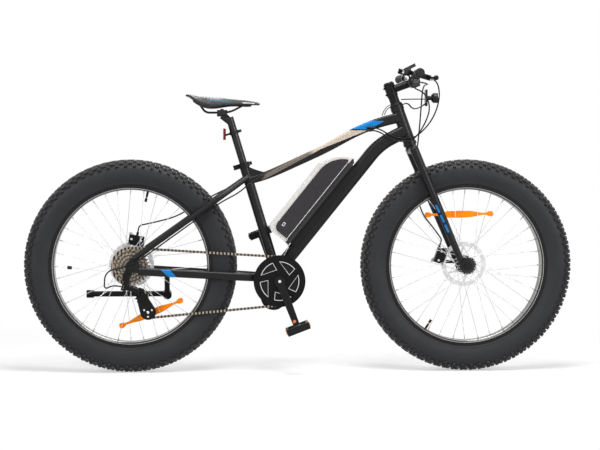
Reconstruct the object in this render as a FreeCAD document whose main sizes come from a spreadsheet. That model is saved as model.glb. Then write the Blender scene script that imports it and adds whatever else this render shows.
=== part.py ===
"""A fat-tyre bicycle with a motor at its cranks and a battery on its frame, drawn as a parametric document.

The frame of reference: X runs forward, Y to the rider's left and Z up. The origin is on the ground midway
between the axles. Lengths are millimetres and angles degrees.
"""
import FreeCAD, Part
import math
import os

import Sketcher
from FreeCAD import Placement, Rotation, Vector

SIZES = {
    # Layout of the bicycle
    "wheelbase": 1188,
    "chainstay_reach": 522,
    "bracket_drop": 51,
    "seat_angle": 73.2,
    "head_angle": 70,
    "fork_offset": 40,
    # Fits and cuts
    "running_gap": 0.05,
    "clear_gap": 0.4,
    "cut_overrun": 5,
    # Tyres, inner tubes and rims
    "tyre_radius": 375,
    "tyre_width": 102,
    "crown_width": 66,
    "crown_thickness": 12,
    "shoulder_drop": 20,
    "shoulder_tuck": 3.5,
    "tyre_wall": 5.5,
    "bead_radius": 279.5,
    "bead_width": 6.5,
    "tube_wall": 2,
    "tube_gap": 1,
    "valve_radius": 4,
    "valve_length": 36,
    "rim_width": 80,
    "rim_wall": 2.5,
    "rim_bed_thickness": 4,
    "rim_flange_height": 7.5,
    "rim_height": 19,
    "rim_bed_width": 56,
    # Hubs, axles and bearings
    "axle_radius": 5,
    "axle_shoulder_radius": 9,
    "axle_nut_radius": 10,
    "axle_nut_height": 7,
    "bearing_radius": 13,
    "bearing_width": 9,
    "hub_bore_radius": 7,
    "hub_nose_radius": 17,
    "hub_barrel_radius": 18,
    "hub_flange_radius": 32,
    "hub_flange_thickness": 3,
    "rotor_flange_radius": 27,
    "rotor_flange_thickness": 4,
    "front_hub_span": 135,
    "front_hub_end": 59,
    "front_right_flange": 48,
    "front_left_flange": 34,
    "front_rotor_face": 49,
    "rear_hub_span": 175,
    "rear_hub_right_end": 38,
    "rear_hub_left_end": 74,
    "rear_right_flange": 33,
    "rear_left_flange": 46,
    "rear_rotor_face": 60,
    # Spokes and wheel reflectors
    "spoke_radius": 1,
    "spoke_circle_radius": 28.5,
    "spoke_hole_radius": 1.3,
    "spoke_head_radius": 1.9,
    "spoke_outer_gap": 1.1,
    "spoke_inner_gap": 0.1,
    "rim_hole_offset": 13,
    "rim_hole_stagger": 1.5,
    "nipple_radius": 2,
    "nipple_length": 14,
    "nipple_seat_gap": 0.5,
    "reflector_orbit": 182,
    "reflector_length": 243,
    "reflector_height": 25,
    "reflector_thickness": 9,
    "front_reflector_face": 18.1,
    "rear_reflector_face": 14.8,
    "magnet_orbit": 223,
    "magnet_radius": 6,
    "magnet_length": 15,
    # Brake rotors and calipers
    "rotor_radius": 80,
    "rotor_band_width": 16,
    "rotor_thickness": 2,
    "rotor_centre_radius": 28,
    "rotor_arm_width": 7,
    "rotor_hole_radius": 2.6,
    "rotor_bolt_circle": 22,
    "rotor_bolt_radius": 3.5,
    "rotor_bolt_height": 2.5,
    "caliper_orbit": 88,
    "caliper_length": 54,
    "caliper_depth": 36,
    "caliper_inner": 10,
    "caliper_outer": 20,
    "caliper_slot": 5,
    "caliper_can_radius": 15,
    "caliper_can_height": 6,
    "caliper_arm_length": 32,
    "caliper_arm_width": 12,
    "caliper_arm_thickness": 4,
    "caliper_pin_radius": 4,
    "caliper_stop_radius": 4.5,
    "caliper_stop_length": 12,
    # Head tube, headset and fork
    "head_low": 479,
    "head_high": 598,
    "head_tube_radius": 22,
    "head_tube_bore": 17.5,
    "headset_cup_radius": 24,
    "headset_cup_height": 12,
    "steerer_radius": 14.3,
    "steerer_bore": 11.5,
    "crown_rise": 450,
    "crown_radius": 16,
    "race_radius": 20,
    "leg_spread": 77,
    "leg_foot_spread": 73,
    "leg_top_radius": 15.5,
    "leg_foot_radius": 11.5,
    "leg_foot_rise": 34,
    "leg_foot_offset": 22,
    "dropout_thickness": 7,
    "dropout_radius": 15,
    # Stem, bars and controls
    "lamp_ring_height": 4,
    "headset_cap_height": 11,
    "headset_cap_radius": 23,
    "spacer_height": 25,
    "spacer_radius": 17.5,
    "stem_clamp_height": 48,
    "stem_clamp_radius": 19.5,
    "stem_reach": 85,
    "stem_tube_radius": 14,
    "stem_cap_height": 5,
    "stem_bolt_radius": 4,
    "stem_bolt_length": 9,
    "bar_clamp_radius": 15.9,
    "bar_clamp_width": 46,
    "bar_clamp_wall": 5.5,
    "bar_radius": 11.1,
    "bar_bore": 9.1,
    "bar_span": 700,
    "bar_flat": 130,
    "bar_bend_span": 300,
    "bar_rise": 20,
    "bar_sweep": 14,
    "grip_radius": 16,
    "grip_length": 128,
    "grip_end_thickness": 4,
    "perch_inset": 158,
    "perch_width": 17,
    "perch_radius": 17,
    "perch_reach": 40,
    "perch_height": 18,
    "perch_drop_angle": 16,
    "barrel_radius": 5.5,
    "barrel_length": 30,
    "lever_length": 108,
    "lever_width": 13,
    "lever_thickness": 9,
    "lever_ball_radius": 9,
    "lever_pin_radius": 3,
    "lever_boss_radius": 8,
    "lever_flare": 8,
    "shifter_inset": 184,
    "shifter_radius": 14,
    "shifter_height": 15,
    "shifter_setback": 31,
    "shift_lever_length": 36,
    "shift_lever_width": 11,
    "shift_lever_thickness": 5,
    "shift_paddle_height": 18,
    "shift_pin_radius": 3.5,
    "display_length": 46,
    "display_width": 66,
    "display_thickness": 12,
    "display_lift": 50,
    "display_setback": 16,
    "display_tilt": 26,
    "display_arm_width": 9,
    "display_arm_thickness": 6,
    # Headlight
    "lamp_radius": 18,
    "lamp_length": 26,
    "lamp_forward": 137,
    "lamp_rise": 31,
    "lamp_plate_height": 58,
    "lamp_plate_width": 44,
    "lamp_plate_thickness": 6,
    "lamp_strip_width": 18,
    "lamp_strip_thickness": 4,
    "lamp_neck_radius": 8,
    # Main frame
    "top_tube_rear_height": 27,
    "top_tube_front_height": 37,
    "top_tube_rear_width": 32,
    "top_tube_front_width": 40,
    "top_tube_wall": 2.5,
    "top_tube_corner": 9,
    "top_tube_seat_drop": 62,
    "top_tube_head_drop": 36,
    "top_tube_arch": 21,
    "gusset_reach": 85,
    "gusset_height": 60,
    "gusset_thickness": 24,
    "down_tube_depth": 49,
    "down_tube_width": 46,
    "down_tube_corner": 16,
    "down_tube_wall": 2.5,
    "down_tube_angle": 51.2,
    "down_tube_offset": 22,
    "down_tube_start": 24,
    "down_tube_bend": 598,
    "down_tube_head_rise": 521,
    "seat_tube_radius": 17.5,
    "seat_tube_length": 430,
    "bracket_radius": 25,
    "bracket_bore": 17,
    "bracket_width": 100,
    "chainstay_height": 28,
    "chainstay_width": 17,
    "chainstay_wall": 2,
    "stay_spread": 70,
    "stay_root_spread": 36,
    "stay_end_spread": 91,
    "seatstay_radius": 10.5,
    "seatstay_wall": 2,
    "seatstay_join": 380,
    "seatstay_root_spread": 14,
    "dropout_height": 46,
    "hanger_setback": 14,
    "hanger_drop": 29,
    # Seat clamp, seatpost, saddle and rear reflector
    "post_radius": 13.6,
    "post_bore": 11.2,
    "post_bottom": 285,
    "post_top": 600,
    "collar_wall": 3.5,
    "collar_height": 17,
    "clamp_rod_radius": 3,
    "cam_pin_radius": 3.6,
    "clamp_rod_setback": 32,
    "clamp_ear_thickness": 6,
    "clamp_ear_spread": 10,
    "clamp_lever_length": 62,
    "clamp_lever_width": 12,
    "clamp_lever_thickness": 5,
    "clamp_cam_radius": 7,
    "post_head_setback": 26,
    "post_head_radius": 17,
    "rail_radius": 3.5,
    "rail_spread": 22,
    "rail_height": 915,
    "jaw_length": 36,
    "jaw_width": 62,
    "jaw_height": 9,
    "jaw_bolt_radius": 3,
    "saddle_length": 264,
    "saddle_width": 164,
    "saddle_tail_setback": 401,
    "saddle_tail_height": 979,
    "saddle_depth": 41,
    "saddle_shell_thickness": 4,
    "tail_light_rise": 538,
    "tail_light_height": 40,
    "tail_light_width": 46,
    "tail_light_thickness": 9,
    "tail_light_reach": 34,
    "tail_ring_wall": 3,
    "tail_ring_height": 12,
    "tail_knob_radius": 6,
    # Motor, cranks, chainring and pedals
    "motor_radius": 45,
    "motor_setback": 20,
    "motor_drop": 58,
    "motor_left": 60,
    "motor_right": 50,
    "gear_case_depth": 16,
    "gear_case_radius": 36,
    "bracket_nut_radius": 29,
    "bracket_nut_height": 7,
    "spindle_radius": 8.5,
    "crank_length": 170,
    "crank_angle": 69,
    "crank_root_face": 87,
    "crank_thickness": 13,
    "crank_flare": 15,
    "crank_root_radius": 19,
    "crank_eye_radius": 14,
    "crank_bolt_radius": 7,
    "crank_bolt_height": 2,
    "chain_pitch": 12.7,
    "chainring_face": 76,
    "chainring_thickness": 2,
    "chainring_bore": 60,
    "cover_radius": 91,
    "cover_thickness": 4,
    "cover_stand_off": 4.3,
    "cover_window_radius": 69,
    "cover_window_inner": 40,
    "cover_bolt_circle": 66,
    "cover_bolt_radius": 4,
    "cover_bolt_height": 2.5,
    "pedal_length": 82,
    "pedal_width": 92,
    "pedal_thickness": 24,
    "pedal_wall": 9,
    "pedal_barrel_radius": 13,
    "pedal_axle_radius": 5,
    "pedal_reflector_width": 54,
    "pedal_reflector_height": 13,
    "pedal_reflector_depth": 3,
    # Cassette, chain and derailleur
    "cog_spacing": 4.8,
    "cog_thickness": 2,
    "largest_cog_face": 44,
    "freehub_radius": 16.5,
    "lockring_radius": 17,
    "lockring_height": 3,
    "roller_radius": 3.4,
    "roller_half_width": 1.7,
    "link_plate_radius": 4,
    "link_plate_thickness": 1,
    "link_side_gap": 0.5,
    "pin_radius": 1.7,
    "pin_gap": 0.2,
    "pin_end": 0.4,
    "guide_ahead": 38,
    "guide_drop": 107,
    "cage_length": 58,
    "jockey_bore": 4,
    "jockey_hub_radius": 10,
    "jockey_hub_width": 8,
    "jockey_thickness": 2,
    "cage_gap": 1.6,
    "cage_plate_thickness": 2,
    "cage_guide_radius": 18,
    "cage_tension_radius": 28,
    "cage_hub_radius": 6,
    "knuckle_radius": 12,
    "knuckle_width": 24,
    "link_pivot_setback": 18,
    "link_pivot_drop": 71,
    "link_length": 57,
    "link_yaw": 20,
    "link_dip": 16,
    "link_height": 15,
    "link_end_radius": 5,
    "link_spacing": 16,
    "link_middle_face": 92,
    "link_pin_radius": 2,
    "ear_thickness": 4,
    # Battery and its cradle
    "battery_start": 118,
    "battery_length": 381,
    "battery_height": 94,
    "battery_width": 80,
    "battery_panel_thickness": 5,
    "battery_panel_inset": 14,
    "battery_heel": 22,
    "battery_toe": 84,
    "cradle_start": 128,
    "cradle_length": 352,
    "cradle_wall": 5,
    "cradle_skirt": 20,
    "cradle_rail_width": 30,
    "cradle_rail_height": 4,
    # Kickstand
    "stand_setback": 396,
    "stand_pivot_height": 268,
    "stand_pivot_spread": 99,
    "stand_tilt": 18,
    "stand_leg_length": 262,
    "stand_leg_radius": 10,
    "stand_foot_radius": 14,
    "stand_foot_length": 26,
    "stand_eye_radius": 16,
    "stand_eye_thickness": 12,
    "stand_pin_radius": 5,
    "stand_block_length": 58,
    "stand_block_height": 18,
    "stand_block_width": 30,
    "stand_arm_thickness": 10,
    # Cables
    "cable_radius": 2.5,
    "lead_radius": 3,
    "ferrule_radius": 4.2,
    "ferrule_length": 16,
}

SPOKES_PER_FLANGE = 18
SPOKE_CROSSING_PITCHES = 3
COG_TEETH = (32, 28, 24, 21, 18, 15, 13, 11)
RING_TEETH = 42
JOCKEY_TEETH = 11
ROTOR_ARMS = 6
ROTOR_HOLES = 24
COVER_WINDOWS = 5
FRONT_REFLECTOR_ANGLE = 98
FRONT_REFLECTOR_TILT = 7
REAR_REFLECTOR_ANGLE = -67
REAR_REFLECTOR_TILT = 0
FRONT_VALVE_ANGLE = 238
REAR_VALVE_ANGLE = 77
MAGNET_SPOKE = 3
FRONT_CALIPER_ANGLE = 161
REAR_CALIPER_ANGLE = 79
FULL_TURN = 360

# Half the outline of one sprocket tooth, in chain pitches: along the pitch circle, then outwards from it.
TOOTH_SHARES = ((0.0, -0.345), (0.236, -0.256), (0.362, 0.0), (0.424, 0.268))
# A quarter of the wheel reflector: along its half length, then across its half height.
REFLECTOR_SHARES = ((0.0, 1.0), (0.34, 0.9), (0.68, 0.32), (0.8, 0.32), (0.87, 0.72), (0.97, 0.72), (1.0, 0.3))
# Waypoints of the two cable loops as shares: up the steering axis, ahead of it and to the right.
LOOP_SHARES = (
    (
        (0.978, 1.696, 0.267),
        (0.88, 1.172, 0.167),
        (0.824, 0.465, 0.113),
        (0.819, 0.013, 0.1),
        (0.863, -0.626, 0.093),
    ),
    (
        (1.098, 0.752, 0.35),
        (1.047, 1.222, 0.25),
        (0.948, 1.245, 0.2),
        (0.863, 0.752, 0.14),
        (0.814, 0.25, 0.133),
        (0.807, -0.082, 0.127),
        (0.844, -0.674, 0.107),
    ),
)
# Saddle stations from tail to nose: length, half width, top height and underside height as shares.
SADDLE_SHARES = (
    (0.0, 0.62, 0.0, -0.2),
    (0.1, 0.92, -0.08, -0.5),
    (0.24, 1.0, -0.2, -1.05),
    (0.36, 0.86, -0.26, -1.17),
    (0.52, 0.52, -0.34, -1.05),
    (0.7, 0.34, -0.43, -0.98),
    (0.88, 0.29, -0.55, -0.98),
    (1.0, 0.2, -0.74, -1.0),
)


class Size(float):
    """A length or angle that carries both its value and the sheet expression that gives it."""

    def __new__(cls, value, text):
        size = super().__new__(cls, value)
        size.text = text
        return size

    def __add__(self, other):
        return Size(float(self) + float(other), f"({self.text} + {text_of(other)})")

    def __radd__(self, other):
        return Size(float(other) + float(self), f"({text_of(other)} + {self.text})")

    def __sub__(self, other):
        return Size(float(self) - float(other), f"({self.text} - {text_of(other)})")

    def __rsub__(self, other):
        return Size(float(other) - float(self), f"({text_of(other)} - {self.text})")

    def __mul__(self, other):
        return Size(float(self) * float(other), f"({self.text} * {text_of(other)})")

    def __rmul__(self, other):
        return self * other

    def __truediv__(self, other):
        return Size(float(self) / float(other), f"({self.text} / {text_of(other)})")

    def __neg__(self):
        return Size(-float(self), f"(-1 * {self.text})")


def text_of(value):
    """The sheet expression of a size, or the digits of a plain number."""
    return value.text if isinstance(value, Size) else repr(float(value))


class Sheet:
    """The driving dimensions, each in its own named cell of the document's spreadsheet."""

    def __init__(self, document, table):
        self.cells = document.addObject("Spreadsheet::Sheet", "Sizes")
        for row, (name, value) in enumerate(table.items(), start=1):
            self.cells.set(f"A{row}", name)
            self.cells.set(f"B{row}", str(value))
            self.cells.setAlias(f"B{row}", name)
        document.recompute()

    def __getattr__(self, name):
        return Size(self.cells.get(name), f"Sizes.{name}")


doc = FreeCAD.newDocument("FatBike")
s = Sheet(doc, SIZES)
nodes = {}


# Document helpers


def bind(thing, name, size):
    """Sets a property and ties it to the sheet where the value comes from there."""
    setattr(thing, name, float(size))
    if isinstance(size, Size):
        thing.setExpression(name, size.text)


def node(label, *pieces):
    """Names one sub-part; several separate solids share it as a group."""
    thing = pieces[0]
    if len(pieces) > 1:
        thing = doc.addObject("Part::Compound", label)
        thing.Links = list(pieces)
    thing.Label = label
    nodes[label] = thing
    return thing


def shaped(name, shape):
    """An object whose shape is worked out here from the sheet's values."""
    thing = doc.addObject("Part::Feature", name)
    thing.Shape = shape
    return thing


def cylinder(name, radius, height, place):
    thing = doc.addObject("Part::Cylinder", name)
    bind(thing, "Radius", radius)
    bind(thing, "Height", height)
    thing.Placement = place
    return thing


def cone(name, start_radius, end_radius, height, place):
    thing = doc.addObject("Part::Cone", name)
    bind(thing, "Radius1", start_radius)
    bind(thing, "Radius2", end_radius)
    bind(thing, "Height", height)
    thing.Placement = place
    return thing


def sphere(name, radius, centre):
    thing = doc.addObject("Part::Sphere", name)
    bind(thing, "Radius", radius)
    thing.Placement = Placement(centre, Rotation())
    return thing


def block(name, length, width, height, place):
    """A box centred on its placement in all three directions."""
    thing = doc.addObject("Part::Box", name)
    bind(thing, "Length", length)
    bind(thing, "Width", width)
    bind(thing, "Height", height)
    thing.Placement = place * Placement(Vector(-length / 2, -width / 2, -height / 2), Rotation())
    return thing


def cut(name, base, *tools):
    thing = doc.addObject("Part::Cut", name)
    thing.Base = base
    thing.Tool = tools[0] if len(tools) == 1 else group(name + "_tools", *tools)
    return thing


def fuse(name, *pieces):
    thing = doc.addObject("Part::MultiFuse", name)
    thing.Shapes = list(pieces)
    return thing


def group(name, *pieces):
    thing = doc.addObject("Part::Compound", name)
    thing.Links = list(pieces)
    return thing


def origin_plane(body, role):
    return next(plane for plane in body.Origin.OriginFeatures if plane.Role == role)


def draw_outline(sketch, corners):
    """Draws a closed outline whose corners, and arcs between them, are bound to the sheet.

    A corner is (x, y), or (x, y, rise) where an arc leads on to the next corner, rising to the left
    by that share of its chord.
    """
    count = len(corners)
    for index, corner in enumerate(corners):
        after = corners[(index + 1) % count]
        start = Vector(corner[0], corner[1], 0)
        end = Vector(after[0], after[1], 0)
        if len(corner) == 2:
            sketch.addGeometry(Part.LineSegment(start, end), False)
        else:
            chord = end - start
            crest = (start + end) / 2 + Vector(-chord.y, chord.x, 0) * corner[2]
            first, last = (end, start) if corner[2] > 0 else (start, end)
            sketch.addGeometry(Part.Arc(first, crest, last), False)
    ends = [(1, 2) if starts_first(sketch.Geometry[i], corners[i]) else (2, 1) for i in range(count)]
    for index in range(count):
        after = (index + 1) % count
        sketch.addConstraint(Sketcher.Constraint("Coincident", index, ends[index][1], after, ends[after][0]))
    for index, corner in enumerate(corners):
        pin_point(sketch, index, ends[index][0], corner)
        if len(corner) > 2:
            bind_arc(sketch, index, corner, corners[(index + 1) % count])


def starts_first(edge, corner):
    """Whether a drawn edge runs from this corner; an arc may be stored the other way round."""
    return (edge.StartPoint - Vector(corner[0], corner[1], 0)).Length < (
        edge.EndPoint - Vector(corner[0], corner[1], 0)
    ).Length


def pin_point(sketch, edge, end, corner):
    """Fixes one corner of an outline by its distances from the sketch's origin."""
    for kind, axis, size in (("DistanceX", -2, corner[0]), ("DistanceY", -1, corner[1])):
        if float(size) == 0:
            sketch.addConstraint(Sketcher.Constraint("PointOnObject", edge, end, axis))
        else:
            row = sketch.addConstraint(Sketcher.Constraint(kind, -1, 1, edge, end, float(size)))
            if isinstance(size, Size):
                sketch.setExpression(f"Constraints[{row}]", size.text)


def bind_arc(sketch, edge, corner, after):
    """Fixes an arc's radius from its chord and its rise."""
    chord = math.hypot(after[0] - corner[0], after[1] - corner[1])
    rise = abs(corner[2])
    factor = (1 + 4 * rise * rise) / (8 * rise)
    across = f"({text_of(after[0])} - {text_of(corner[0])})^2"
    upward = f"({text_of(after[1])} - {text_of(corner[1])})^2"
    row = sketch.addConstraint(Sketcher.Constraint("Radius", edge, chord * factor))
    sketch.setExpression(f"Constraints[{row}]", f"sqrt({across} + {upward}) * {factor!r}")


def sketched_body(name, role, corners):
    """A body with one sketch on the named origin plane."""
    body = doc.addObject("PartDesign::Body", name)
    sketch = body.newObject("Sketcher::SketchObject", name + "_outline")
    sketch.AttachmentSupport = [(origin_plane(body, role), "")]
    sketch.MapMode = "FlatFace"
    draw_outline(sketch, corners)
    return body, sketch


def turned(name, corners, place):
    """A turned piece: an outline of (radius, height) corners revolved about its own Z axis."""
    body, sketch = sketched_body(name, "XZ_Plane", corners)
    turn = body.newObject("PartDesign::Revolution", name + "_turn")
    turn.Profile = sketch
    turn.ReferenceAxis = (sketch, ["V_Axis"])
    turn.Angle = FULL_TURN
    body.Placement = place
    return body


def ring(name, outer, inner, bottom, top, place):
    """A turned ring between two heights on its own Z axis."""
    return turned(name, [(inner, bottom), (outer, bottom), (outer, top), (inner, top)], place)


def padded(name, corners, thickness, place):
    """A plate: an outline on its own XY plane, thickened equally to both sides."""
    body, sketch = sketched_body(name, "XY_Plane", corners)
    pad = body.newObject("PartDesign::Pad", name + "_pad")
    pad.Profile = sketch
    pad.SideType = "Symmetric"
    bind(pad, "Length", thickness)
    body.Placement = place
    return body


# Geometry helpers


def unit(vector):
    result = Vector(vector)
    result.normalize()
    return result


def polar(radius, angle):
    """A point in the XZ plane, seen from the rider's right with X to the right and Z up."""
    return Vector(radius * math.cos(math.radians(angle)), 0, radius * math.sin(math.radians(angle)))


def facing(origin, direction, across=Vector(0, 1, 0)):
    """A placement whose Z axis follows a direction, with its Y axis as near to across as it can be."""
    along = unit(direction)
    nearly_parallel_share = 0.05
    if across.cross(along).Length < nearly_parallel_share:
        across = Vector(across.z, across.x, across.y)
    side = unit(across.cross(along))
    return Placement(origin, Rotation(side, along.cross(side), along, "ZXY"))


def sideways(origin):
    """A placement whose Z axis is the bicycle's Y axis and whose X axis points forward."""
    return Placement(origin, Rotation(Vector(1, 0, 0), -90))


def upright(origin):
    """A placement whose X and Y axes are the bicycle's X and Z axes, so outlines show its right side."""
    return Placement(origin, Rotation(Vector(1, 0, 0), 90))


def rounded_path(points, share=0.45):
    """Straight runs through the points, joined by tangent arcs as large as the shorter run allows."""
    edges = []
    start = points[0]
    for before, corner, after in zip(points, points[1:], points[2:]):
        back = unit(before - corner)
        ahead = unit(after - corner)
        reach = share * min((before - corner).Length, (after - corner).Length)
        half_turn = back.getAngle(ahead) / 2
        inward = unit(back + ahead)
        crest = corner + inward * (reach / math.cos(half_turn) - reach * math.tan(half_turn))
        edges.append(Part.LineSegment(start, corner + back * reach).toShape())
        edges.append(Part.Arc(corner + back * reach, crest, corner + ahead * reach).toShape())
        start = corner + ahead * reach
    edges.append(Part.LineSegment(start, points[-1]).toShape())
    return Part.Wire(edges)


def stadium(width, height):
    """A flat outline with half-round ends, width across X and height along Y."""
    radius = width / 2
    straight = height / 2 - radius
    corners = [Vector(x * radius, z * straight) for x, z in ((1, -1), (1, 1), (-1, 1), (-1, -1))]
    return Part.Wire([
        Part.LineSegment(corners[0], corners[1]).toShape(),
        Part.Arc(corners[1], Vector(0, straight + radius), corners[2]).toShape(),
        Part.LineSegment(corners[2], corners[3]).toShape(),
        Part.Arc(corners[3], Vector(0, -straight - radius), corners[0]).toShape(),
    ])


def rounded_rectangle(width, height, corner):
    """A rectangle with quarter-round corners, width across X and height along Y."""
    across = width / 2
    upward = height / 2
    bend = corner * (1 - math.sqrt(2) / 2)
    edges = []
    for turn in range(4):
        far, near = (across, upward) if turn % 2 == 0 else (upward, across)
        spin = Rotation(Vector(0, 0, 1), 90 * turn)
        start = spin * Vector(far, corner - near)
        end = spin * Vector(far, near - corner)
        crest = spin * Vector(far - bend, near - bend)
        stop = spin * Vector(far - corner, near)
        edges.append(Part.LineSegment(start, end).toShape())
        edges.append(Part.Arc(end, crest, stop).toShape())
    return Part.Wire(edges)


def swept(points, outline, across=Vector(0, 0, 1)):
    """A solid swept along rounded runs from an outline drawn about the origin."""
    profile = outline.copy()
    profile.Placement = facing(points[0], points[1] - points[0], across)
    return rounded_path(points).makePipeShell([profile], True, False)


def pipe(points, radius):
    """A round bar swept along rounded runs."""
    circle = Part.Wire([Part.Circle(Vector(), Vector(0, 0, 1), radius).toShape()])
    steep = abs(unit(points[1] - points[0]).z) >= math.cos(math.radians(20))
    across = Vector(0, 1, 0) if steep else Vector(0, 0, 1)
    return swept(points, circle, across)


def rod(start, end, radius):
    """A round bar from one point to another."""
    return Part.makeCylinder(radius, (end - start).Length, start, end - start)


def hull_plate(centre_a, radius_a, centre_b, radius_b, depth):
    """A plate round two circles in the XY plane, thickened by depth along Z."""
    gap = centre_b - centre_a
    lean = math.asin((radius_a - radius_b) / gap.Length)
    base = math.atan2(gap.y, gap.x)
    rims = []
    for sign in (1, -1):
        angle = base + sign * (math.pi / 2 - lean)
        out = Vector(math.cos(angle), math.sin(angle))
        rims.append((centre_a + out * radius_a, centre_b + out * radius_b))
    heading = unit(gap)
    outline = Part.Wire([
        Part.LineSegment(rims[0][0], rims[0][1]).toShape(),
        Part.Arc(rims[0][1], centre_b + heading * radius_b, rims[1][1]).toShape(),
        Part.LineSegment(rims[1][1], rims[1][0]).toShape(),
        Part.Arc(rims[1][0], centre_a - heading * radius_a, rims[0][0]).toShape(),
    ])
    return Part.Face(outline).extrude(Vector(0, 0, depth))


def moved(shape, place):
    """A copy of a shape carried from the origin to a placement."""
    copy = shape.copy()
    copy.Placement = place * copy.Placement
    return copy


# Layout points

rear_axle = Vector(-s.wheelbase / 2, 0, s.tyre_radius)
front_axle = Vector(s.wheelbase / 2, 0, s.tyre_radius)
bracket = rear_axle + Vector(s.chainstay_reach, 0, -s.bracket_drop)
seat_way = polar(1, 180 - s.seat_angle)
head_way = polar(1, 180 - s.head_angle)
head_ahead = polar(1, 90 - s.head_angle)
head_foot = front_axle - head_ahead * s.fork_offset
down_way = polar(1, s.down_tube_angle)
down_above = polar(1, s.down_tube_angle + 90)
down_foot = bracket + down_above * s.down_tube_offset


def on_head(rise, ahead=0, left=0):
    """A point given by its height along the steering axis, distance ahead of it and distance to the left."""
    return head_foot + head_way * rise + head_ahead * ahead + Vector(0, left, 0)


def on_seat(rise, ahead=0, left=0):
    """A point given by its height along the seat tube, distance ahead of its axis and distance to the left."""
    return bracket + seat_way * rise + polar(1, 90 - s.seat_angle) * ahead + Vector(0, left, 0)


def on_down(along, above=0, left=0):
    """A point given by its distance along the down tube, height above its axis and distance to the left."""
    return down_foot + down_way * along + down_above * above + Vector(0, left, 0)


# Wheels


def tyre_corners():
    """The tyre's section: a horseshoe with a flat crown, its beads inside the rim's flanges."""
    seat = s.rim_width / 2 - s.rim_wall
    flange = s.bead_radius + s.rim_flange_height
    shoulder = s.tyre_radius - s.shoulder_drop
    shoulder_side = s.tyre_width / 2 - s.shoulder_tuck
    crown = s.crown_width / 2
    lining = s.tyre_radius - s.crown_thickness
    toe = seat - s.bead_width
    side_rise_share = 0.118
    crown_rise_share = 0.1
    return [
        (s.bead_radius, seat),
        (flange, seat, side_rise_share),
        (shoulder, shoulder_side, crown_rise_share),
        (s.tyre_radius, crown),
        (s.tyre_radius, -crown, crown_rise_share),
        (shoulder, -shoulder_side, side_rise_share),
        (flange, -seat),
        (s.bead_radius, -seat),
        (s.bead_radius, -toe),
        (flange, -toe, -side_rise_share),
        (shoulder, s.tyre_wall - shoulder_side, -crown_rise_share),
        (lining, s.tyre_wall - crown),
        (lining, crown - s.tyre_wall, -crown_rise_share),
        (shoulder, shoulder_side - s.tyre_wall, -side_rise_share),
        (flange, toe),
        (s.bead_radius, toe),
    ]


def tube_corners(wall):
    """The inner tube's section inside the tyre, drawn in by a wall's thickness."""
    inset = s.tube_gap + wall
    seat = s.rim_width / 2 - s.rim_wall
    flange = s.bead_radius + s.rim_flange_height
    shoulder = s.tyre_radius - s.shoulder_drop
    side = s.tyre_width / 2 - s.shoulder_tuck - s.tyre_wall - inset
    crown = s.crown_width / 2 - s.tyre_wall - inset
    toe = seat - s.bead_width - inset
    lining = s.tyre_radius - s.crown_thickness - inset
    floor = s.bead_radius + inset
    side_rise_share = 0.118
    return [
        (floor, toe),
        (flange, toe, side_rise_share),
        (shoulder, side),
        (lining, crown),
        (lining, -crown),
        (shoulder, -side, side_rise_share),
        (flange, -toe),
        (floor, -toe),
    ]


def rim_corners():
    """The rim's section: a wide bed with upright flanges and a sunken well."""
    half = s.rim_width / 2
    seat = half - s.rim_wall
    flange = s.bead_radius + s.rim_flange_height
    inner = flange - s.rim_height
    bed = s.rim_bed_width / 2
    well = bed - s.rim_bed_thickness
    toe = seat - s.bead_width
    haunch = inner + s.rim_bed_thickness
    return [
        (inner, -bed),
        (inner, bed),
        (haunch, half),
        (flange, half),
        (flange, seat),
        (s.bead_radius, seat),
        (s.bead_radius, toe),
        (haunch, well),
        (haunch, -well),
        (s.bead_radius, -toe),
        (s.bead_radius, -seat),
        (flange, -seat),
        (flange, -half),
        (haunch, -half),
    ]


def hub_corners(right_end, left_end, right_flange, left_flange, rotor_face):
    """The hub shell's section from its right end to its left end, then back along its bore."""
    half = s.hub_flange_thickness / 2
    seat = s.bearing_width
    return [
        (s.bearing_radius, right_end),
        (s.hub_nose_radius, right_end),
        (s.hub_nose_radius, right_flange - half),
        (s.hub_flange_radius, right_flange - half),
        (s.hub_flange_radius, right_flange + half),
        (s.hub_barrel_radius, right_flange + half),
        (s.hub_barrel_radius, left_flange - half),
        (s.hub_flange_radius, left_flange - half),
        (s.hub_flange_radius, left_flange + half),
        (s.hub_nose_radius, left_flange + half),
        (s.hub_nose_radius, rotor_face - s.rotor_flange_thickness),
        (s.rotor_flange_radius, rotor_face - s.rotor_flange_thickness),
        (s.rotor_flange_radius, rotor_face),
        (s.hub_nose_radius, rotor_face),
        (s.hub_nose_radius, left_end),
        (s.bearing_radius, left_end),
        (s.bearing_radius, left_end - seat),
        (s.hub_bore_radius, left_end - seat),
        (s.hub_bore_radius, right_end + seat),
        (s.bearing_radius, right_end + seat),
    ]


def rim_inner_radius():
    return s.bead_radius + s.rim_flange_height - s.rim_height


def flange_drills(right_flange, left_flange):
    """The spoke holes of both flanges, on the hub's own axis."""
    pitch = FULL_TURN / SPOKES_PER_FLANGE
    depth = s.hub_flange_thickness + 2 * s.cut_overrun
    drills = []
    for flange, lead in ((right_flange, 0), (left_flange, pitch / 2)):
        for hole in range(SPOKES_PER_FLANGE):
            spin = Rotation(Vector(0, 0, 1), lead + hole * pitch)
            foot = spin * Vector(s.spoke_circle_radius, 0, flange - depth / 2)
            drills.append(Part.makeCylinder(s.spoke_hole_radius, depth, foot, Vector(0, 0, 1)))
    return Part.makeCompound(drills)


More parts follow.
